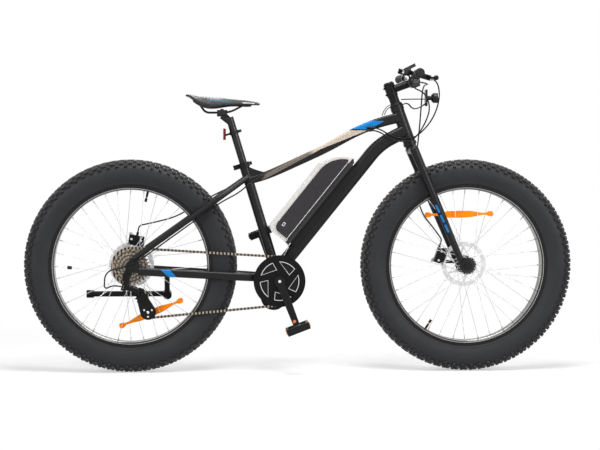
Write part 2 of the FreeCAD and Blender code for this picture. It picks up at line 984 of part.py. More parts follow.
def spoke_line(flange, side, outside, trail):
    """A spoke's elbow at the flange, at angle zero, and its seat in the rim ahead of it or behind."""
    gap = s.spoke_outer_gap if outside else s.spoke_inner_gap
    reach = s.hub_flange_thickness / 2 + s.spoke_radius + gap
    face = side if outside else -side
    elbow = Vector(s.spoke_circle_radius, 0, flange + face * reach)
    swing = trail * SPOKE_CROSSING_PITCHES * FULL_TURN / SPOKES_PER_FLANGE
    offset = s.rim_hole_offset + (s.rim_hole_stagger if outside else -s.rim_hole_stagger)
    return elbow, Rotation(Vector(0, 0, 1), swing) * Vector(rim_inner_radius(), 0, side * offset)


def spoke_pair(flange, side, outside, trail):
    """One bent spoke with its head through the flange, and its nipple."""
    elbow, seat = spoke_line(flange, side, outside, trail)
    face = side if outside else -side
    head = Vector(elbow.x, 0, flange - face * (s.hub_flange_thickness / 2 + s.spoke_head_radius))
    way = unit(seat - elbow)
    tip = seat - way * s.nipple_seat_gap
    joint = tip - way * s.nipple_length
    wire = rod(elbow, joint, s.spoke_radius)
    wire = wire.fuse([
        rod(elbow, head, s.spoke_radius),
        Part.makeSphere(s.spoke_radius, elbow),
        Part.makeSphere(s.spoke_head_radius, head),
    ])
    return [wire, rod(joint, tip, s.nipple_radius)]


def spoke_set(right_flange, left_flange):
    """All spokes of a wheel: every second spoke of a flange leads, from its outer face, and the rest trail."""
    pitch = FULL_TURN / SPOKES_PER_FLANGE
    pieces = []
    for flange, side, lead in ((right_flange, -1, 0), (left_flange, 1, pitch / 2)):
        for parity, outside, trail in ((0, True, 1), (1, False, -1)):
            pair = spoke_pair(flange, side, outside, trail)
            for hole in range(parity, SPOKES_PER_FLANGE, 2):
                spin = Placement(Vector(), Rotation(Vector(0, 0, 1), lead + hole * pitch))
                pieces.extend(moved(piece, spin) for piece in pair)
    return Part.makeCompound(pieces)


def rotor_shape():
    """A brake rotor: a drilled band on slanted arms round a bolted centre, its near face at height zero."""
    thickness = s.rotor_thickness
    band_inner = s.rotor_radius - s.rotor_band_width
    band = Part.makeCylinder(s.rotor_radius, thickness).cut(Part.makeCylinder(band_inner, thickness))
    centre = Part.makeCylinder(s.rotor_centre_radius, thickness)
    arms = []
    lean = 30
    for arm in range(ROTOR_ARMS):
        start = Rotation(Vector(0, 0, 1), arm * FULL_TURN / ROTOR_ARMS)
        inner_end = start * Vector(s.rotor_centre_radius - s.rotor_arm_width / 2, 0)
        outer_end = start * (Rotation(Vector(0, 0, 1), lean) * Vector(band_inner + s.rotor_arm_width / 2, 0))
        arms.append(hull_plate(inner_end, s.rotor_arm_width / 2, outer_end, s.rotor_arm_width / 2, thickness))
    plate = band.fuse([centre, *arms])
    drills = [Part.makeCylinder(s.hub_nose_radius, thickness)]
    for hole in range(ROTOR_HOLES):
        spin = Rotation(Vector(0, 0, 1), hole * FULL_TURN / ROTOR_HOLES)
        inward = s.rotor_band_width / 4 if hole % 2 else -s.rotor_band_width / 4
        foot = spin * Vector(s.rotor_radius - s.rotor_band_width / 2 + inward, 0)
        drills.append(Part.makeCylinder(s.rotor_hole_radius, thickness, foot))
    return plate.cut(drills)


def rotor_bolts():
    """The rotor's button-headed bolts, seated on its far face."""
    bolts = []
    for bolt in range(ROTOR_ARMS):
        spin = Rotation(Vector(0, 0, 1), (bolt + 1 / 2) * FULL_TURN / ROTOR_ARMS)
        foot = spin * Vector(s.rotor_bolt_circle, 0, s.rotor_thickness)
        bolts.append(Part.makeCylinder(s.rotor_bolt_radius, s.rotor_bolt_height, foot))
    return Part.makeCompound(bolts)


def reflector_shape():
    """A long amber spoke reflector, narrow-waisted towards its two eyes, centred on the origin."""
    half_length = s.reflector_length / 2
    half_height = s.reflector_height / 2
    quarter = [(x * half_length, y * half_height) for x, y in REFLECTOR_SHARES]
    right = quarter + [(x, -y) for x, y in reversed(quarter)]
    left = [(-x, -y) for x, y in right[1:-1]]
    corners = [Vector(x, y, 0) for x, y in right + left]
    outline = Part.makePolygon(corners + corners[:1])
    return Part.Face(outline).extrude(Vector(0, 0, s.reflector_thickness))


def wheel(prefix, axle, ends, flanges, rotor_face, reflector_lie, valve_angle):
    """One wheel's tyre with its inner tube, rim, spokes, and hub with its rotor; returns its reflector."""
    place = sideways(axle)
    casing = turned(f"{prefix}_tyre_section", tyre_corners(), place)

    valve_way = Vector(math.cos(math.radians(valve_angle)), -math.sin(math.radians(valve_angle)), 0)
    stem_foot = valve_way * (rim_inner_radius() - s.valve_length)
    stem_length = s.bead_radius + s.tube_gap + s.tube_wall - rim_inner_radius() + s.valve_length
    stem_place = place * facing(stem_foot, valve_way, Vector(0, 0, 1))
    outer_tube = turned(f"{prefix}_tube_outside", tube_corners(0), place)
    inner_tube = turned(f"{prefix}_tube_inside", tube_corners(s.tube_wall), place)
    hollow_tube = cut(f"{prefix}_tube_wall", outer_tube, inner_tube)
    stem = cylinder(f"{prefix}_valve_stem", s.valve_radius, stem_length, stem_place)
    node(f"{prefix}_tyre", casing, fuse(f"{prefix}_tube_and_valve", hollow_tube, stem))

    rim = turned(f"{prefix}_rim_section", rim_corners(), place)
    valve_hole = cylinder(f"{prefix}_valve_hole", s.valve_radius + s.clear_gap, stem_length, stem_place)
    node(f"{prefix}_rim", cut(f"{prefix}_drilled_rim", rim, valve_hole))

    shell = turned(f"{prefix}_hub_section", hub_corners(*ends, *flanges, rotor_face), place)
    drills = shaped(f"{prefix}_spoke_holes", flange_drills(*flanges))
    drills.Placement = place
    drilled = cut(f"{prefix}_drilled_hub", shell, drills)
    bore = s.axle_radius + s.running_gap
    races = [
        ring(f"{prefix}_right_bearing", s.bearing_radius, bore, ends[0], ends[0] + s.bearing_width, place),
        ring(f"{prefix}_left_bearing", s.bearing_radius, bore, ends[1] - s.bearing_width, ends[1], place),
    ]
    spokes = shaped(f"{prefix}_spokes", spoke_set(*flanges))
    spokes.Placement = place
    node(f"{prefix}_spokes", spokes)

    disc_place = place * Placement(Vector(0, 0, rotor_face), Rotation())
    disc = shaped(f"{prefix}_rotor_disc", rotor_shape())
    disc.Placement = disc_place
    bolts = shaped(f"{prefix}_rotor_bolts", rotor_bolts())
    bolts.Placement = disc_place
    node(f"{prefix}_hub", drilled, *races, disc, bolts)

    reflector_face, reflector_angle, reflector_tilt = reflector_lie
    centre = axle + polar(s.reflector_orbit, reflector_angle)
    lean = Rotation(Vector(0, 1, 0), 90 - reflector_angle + reflector_tilt)
    lie = Placement(centre - Vector(0, reflector_face, 0), lean)
    reflector = shaped(f"{prefix}_reflector_plate", reflector_shape())
    reflector.Placement = lie * Placement(Vector(), Rotation(Vector(1, 0, 0), -90))
    return reflector


def axle_piece(prefix, axle, span, right_shoulder, left_shoulder, plate):
    """An axle with a shoulder inside each dropout and a nut outside it."""
    half = span / 2
    reach = half + plate + s.axle_nut_height + s.clear_gap
    corners = [
        (0, -reach),
        (s.axle_radius, -reach),
        (s.axle_radius, -half),
        (s.axle_shoulder_radius, -half),
        (s.axle_shoulder_radius, -right_shoulder),
        (s.axle_radius, -right_shoulder),
        (s.axle_radius, left_shoulder),
        (s.axle_shoulder_radius, left_shoulder),
        (s.axle_shoulder_radius, half),
        (s.axle_radius, half),
        (s.axle_radius, reach),
        (0, reach),
    ]
    place = sideways(axle)
    shaft = turned(f"{prefix}_axle_shaft", corners, place)
    outer = half + plate
    nuts = [
        ring(f"{prefix}_right_nut", s.axle_nut_radius, s.axle_radius, -outer - s.axle_nut_height, -outer, place),
        ring(f"{prefix}_left_nut", s.axle_nut_radius, s.axle_radius, outer, outer + s.axle_nut_height, place),
    ]
    return [shaft, *nuts]


def build_wheels():
    front_reflector = wheel(
        "front",
        front_axle,
        (-s.front_hub_end, s.front_hub_end),
        (-s.front_right_flange, s.front_left_flange),
        s.front_rotor_face,
        (s.front_reflector_face, FRONT_REFLECTOR_ANGLE, FRONT_REFLECTOR_TILT),
        FRONT_VALVE_ANGLE,
    )
    node("front_wheel_reflector", front_reflector)
    rear_reflector = wheel(
        "rear",
        rear_axle,
        (-s.rear_hub_right_end, s.rear_hub_left_end),
        (-s.rear_right_flange, s.rear_left_flange),
        s.rear_rotor_face,
        (s.rear_reflector_face, REAR_REFLECTOR_ANGLE, REAR_REFLECTOR_TILT),
        REAR_VALVE_ANGLE,
    )
    node("rear_wheel_reflector", rear_reflector, magnet_piece())


def magnet_piece():
    """The speed sensor's magnet, clamped round one spoke of the rear wheel."""
    elbow, seat = spoke_line(-s.rear_right_flange, -1, True, 1)
    way = unit(seat - elbow)
    foot = elbow + way * (s.magnet_orbit - s.spoke_circle_radius)
    sleeve = Part.makeCylinder(s.magnet_radius, s.magnet_length, foot, way)
    magnet = shaped("spoke_magnet", sleeve.cut(rod(elbow, seat, float(s.spoke_radius))))
    spin = Rotation(Vector(0, 0, 1), 2 * MAGNET_SPOKE * FULL_TURN / SPOKES_PER_FLANGE)
    magnet.Placement = sideways(rear_axle) * Placement(Vector(), spin)
    return magnet


def rear_axle_pieces():
    lockring_end = s.largest_cog_face + (len(COG_TEETH) - 1) * s.cog_spacing + s.cog_thickness / 2
    right_shoulder = lockring_end + s.lockring_height + s.clear_gap
    left_shoulder = s.rear_hub_left_end + s.clear_gap
    return axle_piece("rear", rear_axle, s.rear_hub_span, right_shoulder, left_shoulder, s.dropout_thickness)


# Frame


def build_head_tube():
    """The head tube and the two headset cups that the steerer turns in."""
    place = facing(head_foot, head_way)
    bore = s.steerer_radius + s.running_gap
    tube = ring("head_tube_wall", s.head_tube_radius, s.head_tube_bore, s.head_low, s.head_high, place)
    low_end = s.head_low - s.headset_cup_height
    high_end = s.head_high + s.headset_cup_height
    low_cup = ring("lower_cup", s.headset_cup_radius, bore, low_end, s.head_low, place)
    high_cup = ring("upper_cup", s.headset_cup_radius, bore, s.head_high, high_end, place)
    node("head_tube", tube, low_cup, high_cup)


def bar_tool(name, radius, start, end):
    """A straight round cutter that runs past both of its ends."""
    way = unit(end - start)
    length = (end - start).Length + 2 * s.cut_overrun
    return cylinder(name, radius, length, facing(start - way * s.cut_overrun, way))


def top_tube_line():
    """The top tube's centre line from the seat tube to the head tube, arched over its front half."""
    rear = on_seat(s.seat_tube_length - s.top_tube_seat_drop)
    front = on_head(s.head_high - s.top_tube_head_drop)
    chord = front - rear
    lift = Vector(-unit(chord).z, 0, unit(chord).x)
    # Shares of the way forward, and of the arch's height there.
    arch_shares = ((0.0, 0.0), (0.12, -0.32), (0.3, -0.12), (0.52, 0.3), (0.7, 0.92), (0.85, 1.0), (1.0, 0.5))
    return [rear + chord * along + lift * (s.top_tube_arch * rise) for along, rise in arch_shares]


def top_tube_loft(inset):
    """The top tube's outside, or its bore when drawn in by the wall's thickness."""
    line = top_tube_line()
    wires = []
    for index, point in enumerate(line):
        before = line[max(index - 1, 0)]
        after = line[min(index + 1, len(line) - 1)]
        share = index / (len(line) - 1)
        width = s.top_tube_rear_width + (s.top_tube_front_width - s.top_tube_rear_width) * share - 2 * inset
        height = s.top_tube_rear_height + (s.top_tube_front_height - s.top_tube_rear_height) * share - 2 * inset
        wire = rounded_rectangle(float(width), float(height), float(s.top_tube_corner) - inset)
        wire.Placement = facing(point, after - before, Vector(0, 0, 1))
        wires.append(wire)
    return Part.makeLoft(wires, True, False)


def build_top_tube():
    seat_cutter = bar_tool("top_tube_seat_mitre", s.seat_tube_radius, bracket, on_seat(s.seat_tube_length))
    head_cutter = bar_tool("top_tube_head_mitre", s.head_tube_radius, on_head(s.head_low), on_head(s.head_high))
    outside = shaped("top_tube_outside", top_tube_loft(0))
    bore = shaped("top_tube_bore", top_tube_loft(float(s.top_tube_wall)))
    tube = cut("top_tube_wall_piece", outside, bore, seat_cutter, head_cutter)
    gusset_foot = on_seat(s.seat_tube_length - s.top_tube_seat_drop)
    reach = s.gusset_reach
    corners = [(0, 0), (reach, 0, 0.05), (0, s.gusset_height)]
    turn = Placement(gusset_foot, Rotation(Vector(0, 1, 0), s.seat_angle - 90))
    web = padded("top_tube_gusset", corners, s.gusset_thickness, turn * upright(Vector()))
    trimmed = cut("top_tube_trimmed_gusset", web, shaped("gusset_tube_cut", top_tube_loft(0)), seat_cutter)
    node("top_tube", tube, trimmed)


def down_tube_points():
    """The down tube's centre line: straight up from the bracket, then bent to meet the head tube squarely."""
    root = on_down(s.down_tube_start)
    meet = on_head(s.down_tube_head_rise)
    bend = on_down(s.down_tube_bend)
    return [root, bend, meet]


def build_down_tube():
    points = down_tube_points()
    outline = rounded_rectangle(float(s.down_tube_width), float(s.down_tube_depth), float(s.down_tube_corner))
    wall = float(s.down_tube_wall)
    bore_outline = rounded_rectangle(
        float(s.down_tube_width) - 2 * wall, float(s.down_tube_depth) - 2 * wall, float(s.down_tube_corner) - wall
    )
    outside = shaped("down_tube_outside", swept(points, outline))
    bore = shaped("down_tube_bore", swept(points, bore_outline))
    tools = [
        bore,
        bar_tool("down_tube_head_mitre", s.head_tube_radius, on_head(s.head_low), on_head(s.head_high)),
        bar_tool("down_tube_seat_mitre", s.seat_tube_radius, bracket, on_seat(s.seat_tube_length)),
        bracket_tool("down_tube_bracket_mitre"),
    ]
    node("down_tube", cut("down_tube_wall_piece", outside, *tools))


def bracket_tool(name):
    """A cutter the size of the bottom bracket shell's outside."""
    width = s.bracket_width
    return cylinder(name, s.bracket_radius, width, sideways(bracket - Vector(0, width / 2, 0)))


def build_seat_tube():
    place = facing(bracket, seat_way)
    bore = s.post_radius + s.running_gap
    tube = ring("seat_tube_wall", s.seat_tube_radius, bore, s.bracket_bore, s.seat_tube_length, place)
    node("seat_tube", cut("seat_tube_mitred", tube, bracket_tool("seat_tube_bracket_mitre")))
    half = s.bracket_width / 2
    node(
        "bottom_bracket_shell",
        ring("bracket_wall", s.bracket_radius, s.bracket_bore, -half, half, sideways(bracket)),
    )


def dropout_corners(right):
    """A rear dropout's outline about the axle; the right one has the derailleur's hanger below."""
    tall = s.dropout_height
    hanger = [(s.hanger_setback * -0.3, s.hanger_drop * -1.4), (s.hanger_setback * -1.7, s.hanger_drop * -1.4),
              (s.hanger_setback * -1.7, s.hanger_drop * -0.9)]
    # Shares of the dropout's height, forwards and upwards from the axle.
    plate_shares = ((-0.35, -0.15), (-0.3, 0.25), (-0.1, 0.5), (0.25, 0.85), (0.52, 0.72), (0.8, -0.05), (0.8, -0.5),
                    (0.2, -0.4))
    plate = [(tall * ahead, tall * up) for ahead, up in plate_shares]
    outline = plate + (hanger if right else [(tall * -0.2, tall * -0.4)])
    return outline


def build_rear_triangle():
    plates = []
    tools = []
    for side, right in ((-1, True), (1, False)):
        name = "right" if right else "left"
        middle = rear_axle + Vector(0, side * (s.rear_hub_span + s.dropout_thickness) / 2, 0)
        plate = padded(f"{name}_dropout_plate", dropout_corners(right), s.dropout_thickness, upright(middle))
        hole = cylinder(
            f"{name}_axle_slot",
            s.axle_radius,
            s.dropout_thickness + 2 * s.cut_overrun,
            sideways(middle - Vector(0, s.dropout_thickness / 2 + s.cut_overrun, 0)),
        )
        plates.append(cut(f"{name}_dropout", plate, hole))
        tools.append(plate)
    node("rear_dropouts", *plates, *rear_axle_pieces())

    chainstays = []
    seatstays = []
    for side, name, plate in ((-1, "right", tools[0]), (1, "left", tools[1])):
        chainstays.append(chainstay(name, side, plate))
        seatstays.append(seatstay(name, side, plate))
    node("chainstays", *chainstays)
    node("seatstays", *seatstays)


def chainstay_points(side):
    """A chainstay's centre line: out round the chainring's back, past the tyre, to the dropout."""
    start = bracket + Vector(-s.bracket_radius * 0.7, 0, s.bracket_radius * 0.3)
    end = rear_axle + Vector(s.dropout_height * 0.64, 0, -s.dropout_height * 0.33)
    # Shares of the way back, with the spread at each place.
    stations = (
        (0.0, s.stay_root_spread),
        (0.075, s.stay_root_spread + (s.stay_spread - s.stay_root_spread) * 0.25),
        (0.21, s.stay_spread - (s.stay_spread - s.stay_root_spread) * 0.08),
        (0.5, s.stay_spread),
        (1.0, s.stay_end_spread),
    )
    return [start + (end - start) * share + Vector(0, side * spread, 0) for share, spread in stations]


def chainstay(name, side, plate):
    points = chainstay_points(side)
    wall = 2 * float(s.chainstay_wall)
    outside = swept(points, stadium(float(s.chainstay_width), float(s.chainstay_height)))
    bore = swept(points, stadium(float(s.chainstay_width) - wall, float(s.chainstay_height) - wall))
    piece = shaped(f"{name}_chainstay_tube", outside.cut(bore))
    return cut(f"{name}_chainstay", piece, bracket_tool(f"{name}_chainstay_mitre"), plate)


def seatstay_points(side):
    """A seatstay's centre line: spreading from the seat tube over the tyre's shoulders to the dropout."""
    start = on_seat(s.seatstay_join)
    end = rear_axle + Vector(s.dropout_height * 0.24, 0, s.dropout_height * 0.6)
    stations = (
        (0.0, s.seatstay_root_spread),
        (0.11, (s.seatstay_root_spread + s.stay_spread) * 0.42),
        (0.26, s.stay_spread - s.seatstay_wall),
        (0.6, s.stay_spread + s.seatstay_wall),
        (0.95, s.stay_end_spread - s.seatstay_wall),
        (1.0, s.stay_end_spread - s.seatstay_wall),
    )
    return [start + (end - start) * share + Vector(0, side * spread, 0) for share, spread in stations]


def seatstay(name, side, plate):
    points = seatstay_points(side)
    outside = pipe(points, float(s.seatstay_radius))
    bore = pipe(points, float(s.seatstay_radius) - float(s.seatstay_wall))
    piece = shaped(f"{name}_seatstay_tube", outside.cut(bore))
    mitre = bar_tool(f"{name}_seatstay_mitre", s.seat_tube_radius, bracket, on_seat(s.seat_tube_length))
    return cut(f"{name}_seatstay", piece, mitre, plate)


# Fork, stem, bars and controls


def side_plate(near, near_radius, far, far_radius, left_face, depth):
    """A plate round two points in the bicycle's side view, from its left face towards the right."""
    flat = hull_plate(Vector(near.x, near.z), near_radius, Vector(far.x, far.z), far_radius, depth)
    return moved(flat, upright(Vector(0, left_face, 0)))


lamp_ring_base = s.head_high + s.headset_cup_height + s.clear_gap
spacer_base = lamp_ring_base + s.lamp_ring_height + s.headset_cap_height
stem_base = spacer_base + s.spacer_height
stem_middle = stem_base + s.stem_clamp_height / 2
stem_top = stem_base + s.stem_clamp_height
bar_centre = on_head(stem_middle, s.stem_reach)


def build_fork():
    crown_centre = on_head(s.crown_rise)
    spread = s.leg_spread
    race_top = s.head_low - s.headset_cup_height - s.clear_gap
    steerer = ring("steerer", s.steerer_radius, s.steerer_bore, race_top, stem_top, facing(head_foot, head_way))
    pieces = [
        cylinder("crown_bar", s.crown_radius, 2 * spread, sideways(crown_centre - Vector(0, spread, 0))),
        cylinder("crown_race", s.race_radius, race_top - s.crown_rise, facing(crown_centre, head_way)),
    ]
    dropout_holes = []
    for side, name in ((-1, "right"), (1, "left")):
        top = on_head(s.crown_rise, 0, side * spread)
        foot = on_head(s.leg_foot_rise, s.leg_foot_offset, side * s.leg_foot_spread)
        length = (foot - top).Length
        pieces.append(sphere(f"{name}_crown_end", s.crown_radius, top))
        pieces.append(
            cone(f"{name}_leg", s.leg_top_radius, s.leg_foot_radius, length, facing(top, foot - top))
        )
        left_face = s.front_hub_span / 2 + s.dropout_thickness if side > 0 else -s.front_hub_span / 2
        plate = side_plate(foot, s.leg_foot_radius, front_axle, s.dropout_radius, left_face, s.dropout_thickness)
        pieces.append(shaped(f"{name}_fork_dropout", plate))
        pieces.append(sphere(f"{name}_leg_foot", s.leg_foot_radius, foot))
        dropout_holes.append(
            cylinder(
                f"{name}_fork_axle_hole",
                s.axle_radius,
                s.dropout_thickness + 2 * s.cut_overrun,
                sideways(front_axle + Vector(0, left_face - s.dropout_thickness - s.cut_overrun, 0)),
            )
        )
    whole = cut("fork_frame", fuse("fork_solid", *pieces), *dropout_holes)
    shoulder = s.front_hub_end + s.clear_gap
    axle = axle_piece("front", front_axle, s.front_hub_span, shoulder, shoulder, s.dropout_thickness)
    # The axle's shoulders and nuts bear on flat faces, so the feet of the legs are cut back round them.
    room = [
        cylinder(
            f"{name}_axle_room",
            s.axle_nut_radius + s.clear_gap,
            s.axle_nut_height + s.cut_overrun,
            sideways(front_axle + Vector(0, start, 0)),
        )
        for name, start in (
            ("left_nut", s.front_hub_span / 2 + s.dropout_thickness),
            ("right_nut", -s.front_hub_span / 2 - s.dropout_thickness - s.axle_nut_height - s.cut_overrun),
            ("left_shoulder", s.front_hub_span / 2 - s.axle_nut_height - s.cut_overrun),
            ("right_shoulder", -s.front_hub_span / 2),
        )
    ]
    node("fork", cut("fork_trimmed", whole, *room), steerer, *axle)


def build_stem():
    axis = facing(head_foot, head_way)
    clamp_place = facing(on_head(stem_base), head_way)
    clamp = cylinder("stem_clamp_solid", s.stem_clamp_radius, s.stem_clamp_height, clamp_place)
    half = s.bar_clamp_width / 2
    outer = s.bar_clamp_radius + s.bar_clamp_wall
    eye = cylinder("stem_eye_solid", outer, s.bar_clamp_width, sideways(bar_centre - Vector(0, half, 0)))
    arm = cylinder("stem_arm", s.stem_tube_radius, s.stem_reach, facing(on_head(stem_middle), head_ahead))
    bolts = []
    for side in (-1, 1):
        for rise in (-1, 1):
            foot = on_head(
                stem_middle + rise * (outer - s.stem_bolt_radius),
                s.stem_reach,
                side * (half - 2 * s.stem_bolt_radius),
            )
            bolts.append(
                cylinder("stem_face_bolt", s.stem_bolt_radius, 2 * s.stem_bolt_length, facing(foot, head_ahead))
            )
    for rise in (-1, 1):
        foot = on_head(stem_middle + rise * s.stem_clamp_height / 4, -s.stem_clamp_radius, -s.stem_bolt_length)
        bolts.append(cylinder("stem_pinch_bolt", s.stem_bolt_radius, 2 * s.stem_bolt_length, sideways(foot)))
    solid = fuse("stem_solid", clamp, eye, arm, *bolts)
    steerer_bore = bar_tool("stem_steerer_bore", s.steerer_radius, on_head(stem_base), on_head(stem_top))
    overhang = Vector(0, half + s.cut_overrun, 0)
    bar_bore = bar_tool("stem_bar_bore", s.bar_clamp_radius, bar_centre - overhang, bar_centre + overhang)
    body = cut("stem_body", solid, steerer_bore, bar_bore)
    spacers = turned(
        "stem_spacers",
        [
            (s.steerer_radius, lamp_ring_base + s.lamp_ring_height),
            (s.headset_cap_radius, lamp_ring_base + s.lamp_ring_height),
            (s.headset_cap_radius, spacer_base - s.headset_cap_height / 2),
            (s.spacer_radius, spacer_base),
            (s.spacer_radius, stem_base),
            (s.steerer_radius, stem_base),
        ],
        axis,
    )
    cap = turned(
        "stem_cap",
        [
            (0, stem_top),
            (s.spacer_radius, stem_top),
            (s.steerer_radius, stem_top + s.stem_cap_height),
            (0, stem_top + s.stem_cap_height),
        ],
        axis,
    )
    node("stem", body, spacers, cap)


def bar_bend(side):
    return bar_centre + Vector(-s.bar_sweep * 0.3, side * s.bar_bend_span / 2, s.bar_rise)


def bar_end(side):
    return bar_centre + Vector(-s.bar_sweep, side * s.bar_span / 2, s.bar_rise)


def bar_way(side):
    """The outward direction of the bar's straight end."""
    return unit(bar_end(side) - bar_bend(side))


def on_bar(side, inset, ahead=0, above=0):
    """A point by its distance in from the bar's end, and ahead of and above the bar in the levers' plane."""
    tilt = s.perch_drop_angle
    return bar_end(side) - bar_way(side) * inset + polar(ahead, -tilt) + polar(above, 90 - tilt)


lever_up = polar(1, 90 - s.perch_drop_angle)
lever_ahead = polar(1, -s.perch_drop_angle)


def bar_line():
    """The bar's centre line from its right end to its left end."""
    flat = Vector(0, s.bar_flat / 2, 0)
    return [bar_end(-1), bar_bend(-1), bar_centre - flat, bar_centre + flat, bar_bend(1), bar_end(1)]


bar_outside = shaped("bar_outside", pipe(bar_line(), float(s.bar_radius)))


def build_handlebar():
    line = bar_line()
    bore = shaped("bar_bore_line", pipe(line, float(s.bar_bore)))
    shoulder = s.bar_clamp_width / 2 + s.perch_width
    taper = s.bar_flat / 2
    sleeve = turned(
        "bar_sleeve",
        [
            (s.bar_bore, -taper),
            (s.bar_radius, -taper),
            (s.bar_clamp_radius, -shoulder),
            (s.bar_clamp_radius, shoulder),
            (s.bar_radius, taper),
            (s.bar_bore, taper),
        ],
        sideways(bar_centre),
    )
    node("handlebar", cut("bar_tube", fuse("bar_solid", bar_outside, sleeve), bore))

    grips = []
    for side, name in ((-1, "right"), (1, "left")):
        corners = [
            (0, 0),
            (s.bar_radius, 0),
            (s.bar_radius, -s.grip_length),
            (s.grip_radius - s.grip_end_thickness / 2, -s.grip_length),
            (s.grip_radius, s.grip_end_thickness * 2 - s.grip_length),
            (s.grip_radius, 0),
            (s.grip_radius - s.grip_end_thickness, s.grip_end_thickness),
            (0, s.grip_end_thickness),
        ]
        grips.append(turned(f"{name}_grip", corners, facing(bar_end(side), bar_way(side), Vector(0, 0, 1))))
    node("grips", *grips)


def lever_place(side):
    """The brake lever's pivot, its Z axis up through the perch and its X axis pointing ahead."""
    pivot = on_bar(side, s.perch_inset, s.perch_reach)
    across = lever_up.cross(lever_ahead)
    return Placement(pivot, Rotation(lever_ahead, across, lever_up, "ZXY"))


def perch(name, side):
    """A lever's clamp, its two ears and the pin the lever turns on, with a barrel adjuster."""
    place = lever_place(side)
    width = s.perch_width
    centre = on_bar(side, s.perch_inset)
    clamp = cylinder(
        f"{name}_perch_clamp",
        s.perch_radius,
        width,
        facing(centre - bar_way(side) * (width / 2), bar_way(side), Vector(0, 0, 1)),
    )
    reach = s.perch_reach + s.lever_boss_radius
    arm = block(
        f"{name}_perch_arm",
        reach,
        width,
        s.perch_height,
        place * Placement(Vector(s.lever_boss_radius - reach / 2, 0, 0), Rotation()),
    )
    barrel_foot = Vector(-s.lever_boss_radius, -side * width / 4, 0)
    barrel_head = Vector(s.barrel_length * 0.62, -side * (width / 4 + s.barrel_length * 0.78), 0)
    barrel = shaped(
        f"{name}_barrel", rod(place.multVec(barrel_foot), place.multVec(barrel_head), float(s.barrel_radius))
    )
    solid = fuse(f"{name}_perch_solid", clamp, arm, barrel)
    slot_height = s.lever_thickness + 2 * s.clear_gap
    slot_length = 2 * (s.lever_boss_radius + s.clear_gap) + s.cut_overrun
    slot = block(
        f"{name}_lever_slot",
        slot_length,
        width * 4,
        slot_height,
        place * Placement(Vector(slot_length / 2 - s.lever_boss_radius - s.clear_gap, 0, 0), Rotation()),
    )
    hollow = cut(f"{name}_perch_body", solid, slot, bar_outside)
    pin = cylinder(
        f"{name}_lever_pin",
        s.lever_pin_radius,
        s.perch_height,
        place * Placement(Vector(0, 0, -s.perch_height / 2), Rotation()),
    )
    return fuse(f"{name}_perch", hollow, pin)


def brake_lever(name, side):
    """A blade bent ahead of the bar, with a boss on the pin and a ball at its end."""
    place = lever_place(side)
    half = s.lever_thickness / 2
    flare = float(s.lever_flare)
    reach = float(s.lever_length)
    line = [
        Vector(0, 0, 0),
        Vector(flare * 1.6, side * reach * 0.2, 0),
        Vector(flare * 1.1, side * reach * 0.6, 0),
        Vector(flare * 1.8, side * reach, 0),
    ]
    section = rounded_rectangle(float(s.lever_thickness), float(s.lever_width), float(s.lever_thickness) / 3)
    profile = section.copy()
    profile.Placement = facing(line[0], line[1] - line[0], Vector(side, 0, 0))
    blade = rounded_path(line).makePipeShell([profile], True, False)
    boss = Part.makeCylinder(s.lever_boss_radius, s.lever_thickness, Vector(0, 0, -half))
    ball = Part.makeSphere(s.lever_ball_radius, line[-1])
    hole = Part.makeCylinder(
        s.lever_pin_radius + s.running_gap, s.lever_thickness * 3, Vector(0, 0, -s.lever_thickness * 1.5)
    )
    lever = shaped(f"{name}_lever_blade", blade.fuse([boss, ball]).cut(hole))
    lever.Placement = place
    node(f"brake_lever_{name}", lever)


def shifter_place():
    """The shift lever's pivot behind the right end of the bar, its Z axis up and its X axis ahead."""
    across = lever_up.cross(lever_ahead)
    pivot = on_bar(-1, s.shifter_inset, -s.shifter_setback)
    return Placement(pivot, Rotation(lever_ahead, across, lever_up, "ZXY"))


def build_controls():
    perches = [perch("right", -1), perch("left", 1)]
    place = shifter_place()
    half = s.shifter_height / 2
    centre = on_bar(-1, s.shifter_inset)
    way = bar_way(-1)
    pieces = [
        cylinder(
            "shifter_clamp",
            s.perch_radius,
            s.perch_width,
            facing(centre - way * (s.perch_width / 2), way, Vector(0, 0, 1)),
        ),
        cylinder(
            "shifter_pod", s.shifter_radius, s.shifter_height, place * Placement(Vector(0, 0, -half), Rotation())
        ),
        block(
            "shifter_neck",
            s.shifter_setback,
            s.perch_width,
            s.shifter_height,
            place * Placement(Vector(s.shifter_setback / 2, 0, 0), Rotation()),
        ),
        cylinder(
            "shift_pin",
            s.shift_pin_radius,
            s.shift_lever_thickness + 2 * s.clear_gap,
            place * Placement(Vector(0, 0, -half - s.shift_lever_thickness - 2 * s.clear_gap), Rotation()),
        ),
    ]
    pod = cut("shifter_body", fuse("shifter_solid", *pieces), bar_outside)
    node("control_housings", *perches, pod)
    brake_lever("right", -1)
    brake_lever("left", 1)

    depth = s.shift_lever_thickness
    base = Vector(0, 0, -half - s.clear_gap - depth)
    tip = unit(Vector(-1, 1, 0)) * s.shift_lever_length
    arm = hull_plate(Vector(), s.shift_lever_width / 2 + 1, tip, s.shift_lever_width / 2, depth)
    paddle = Part.makeBox(depth, s.shift_lever_width * 1.6, s.shift_paddle_height)
    paddle.Placement = Placement(tip, Rotation(Vector(0, 0, 1), 135)) * Placement(
        Vector(-depth / 2, -s.shift_lever_width * 0.8, 0), Rotation()
    )
    hole = Part.makeCylinder(s.shift_pin_radius + s.running_gap, depth)
    lever = shaped("shift_lever_plate", arm.fuse(paddle).cut(hole))
    lever.Placement = place * Placement(base, Rotation())
    node("shift_lever", lever)


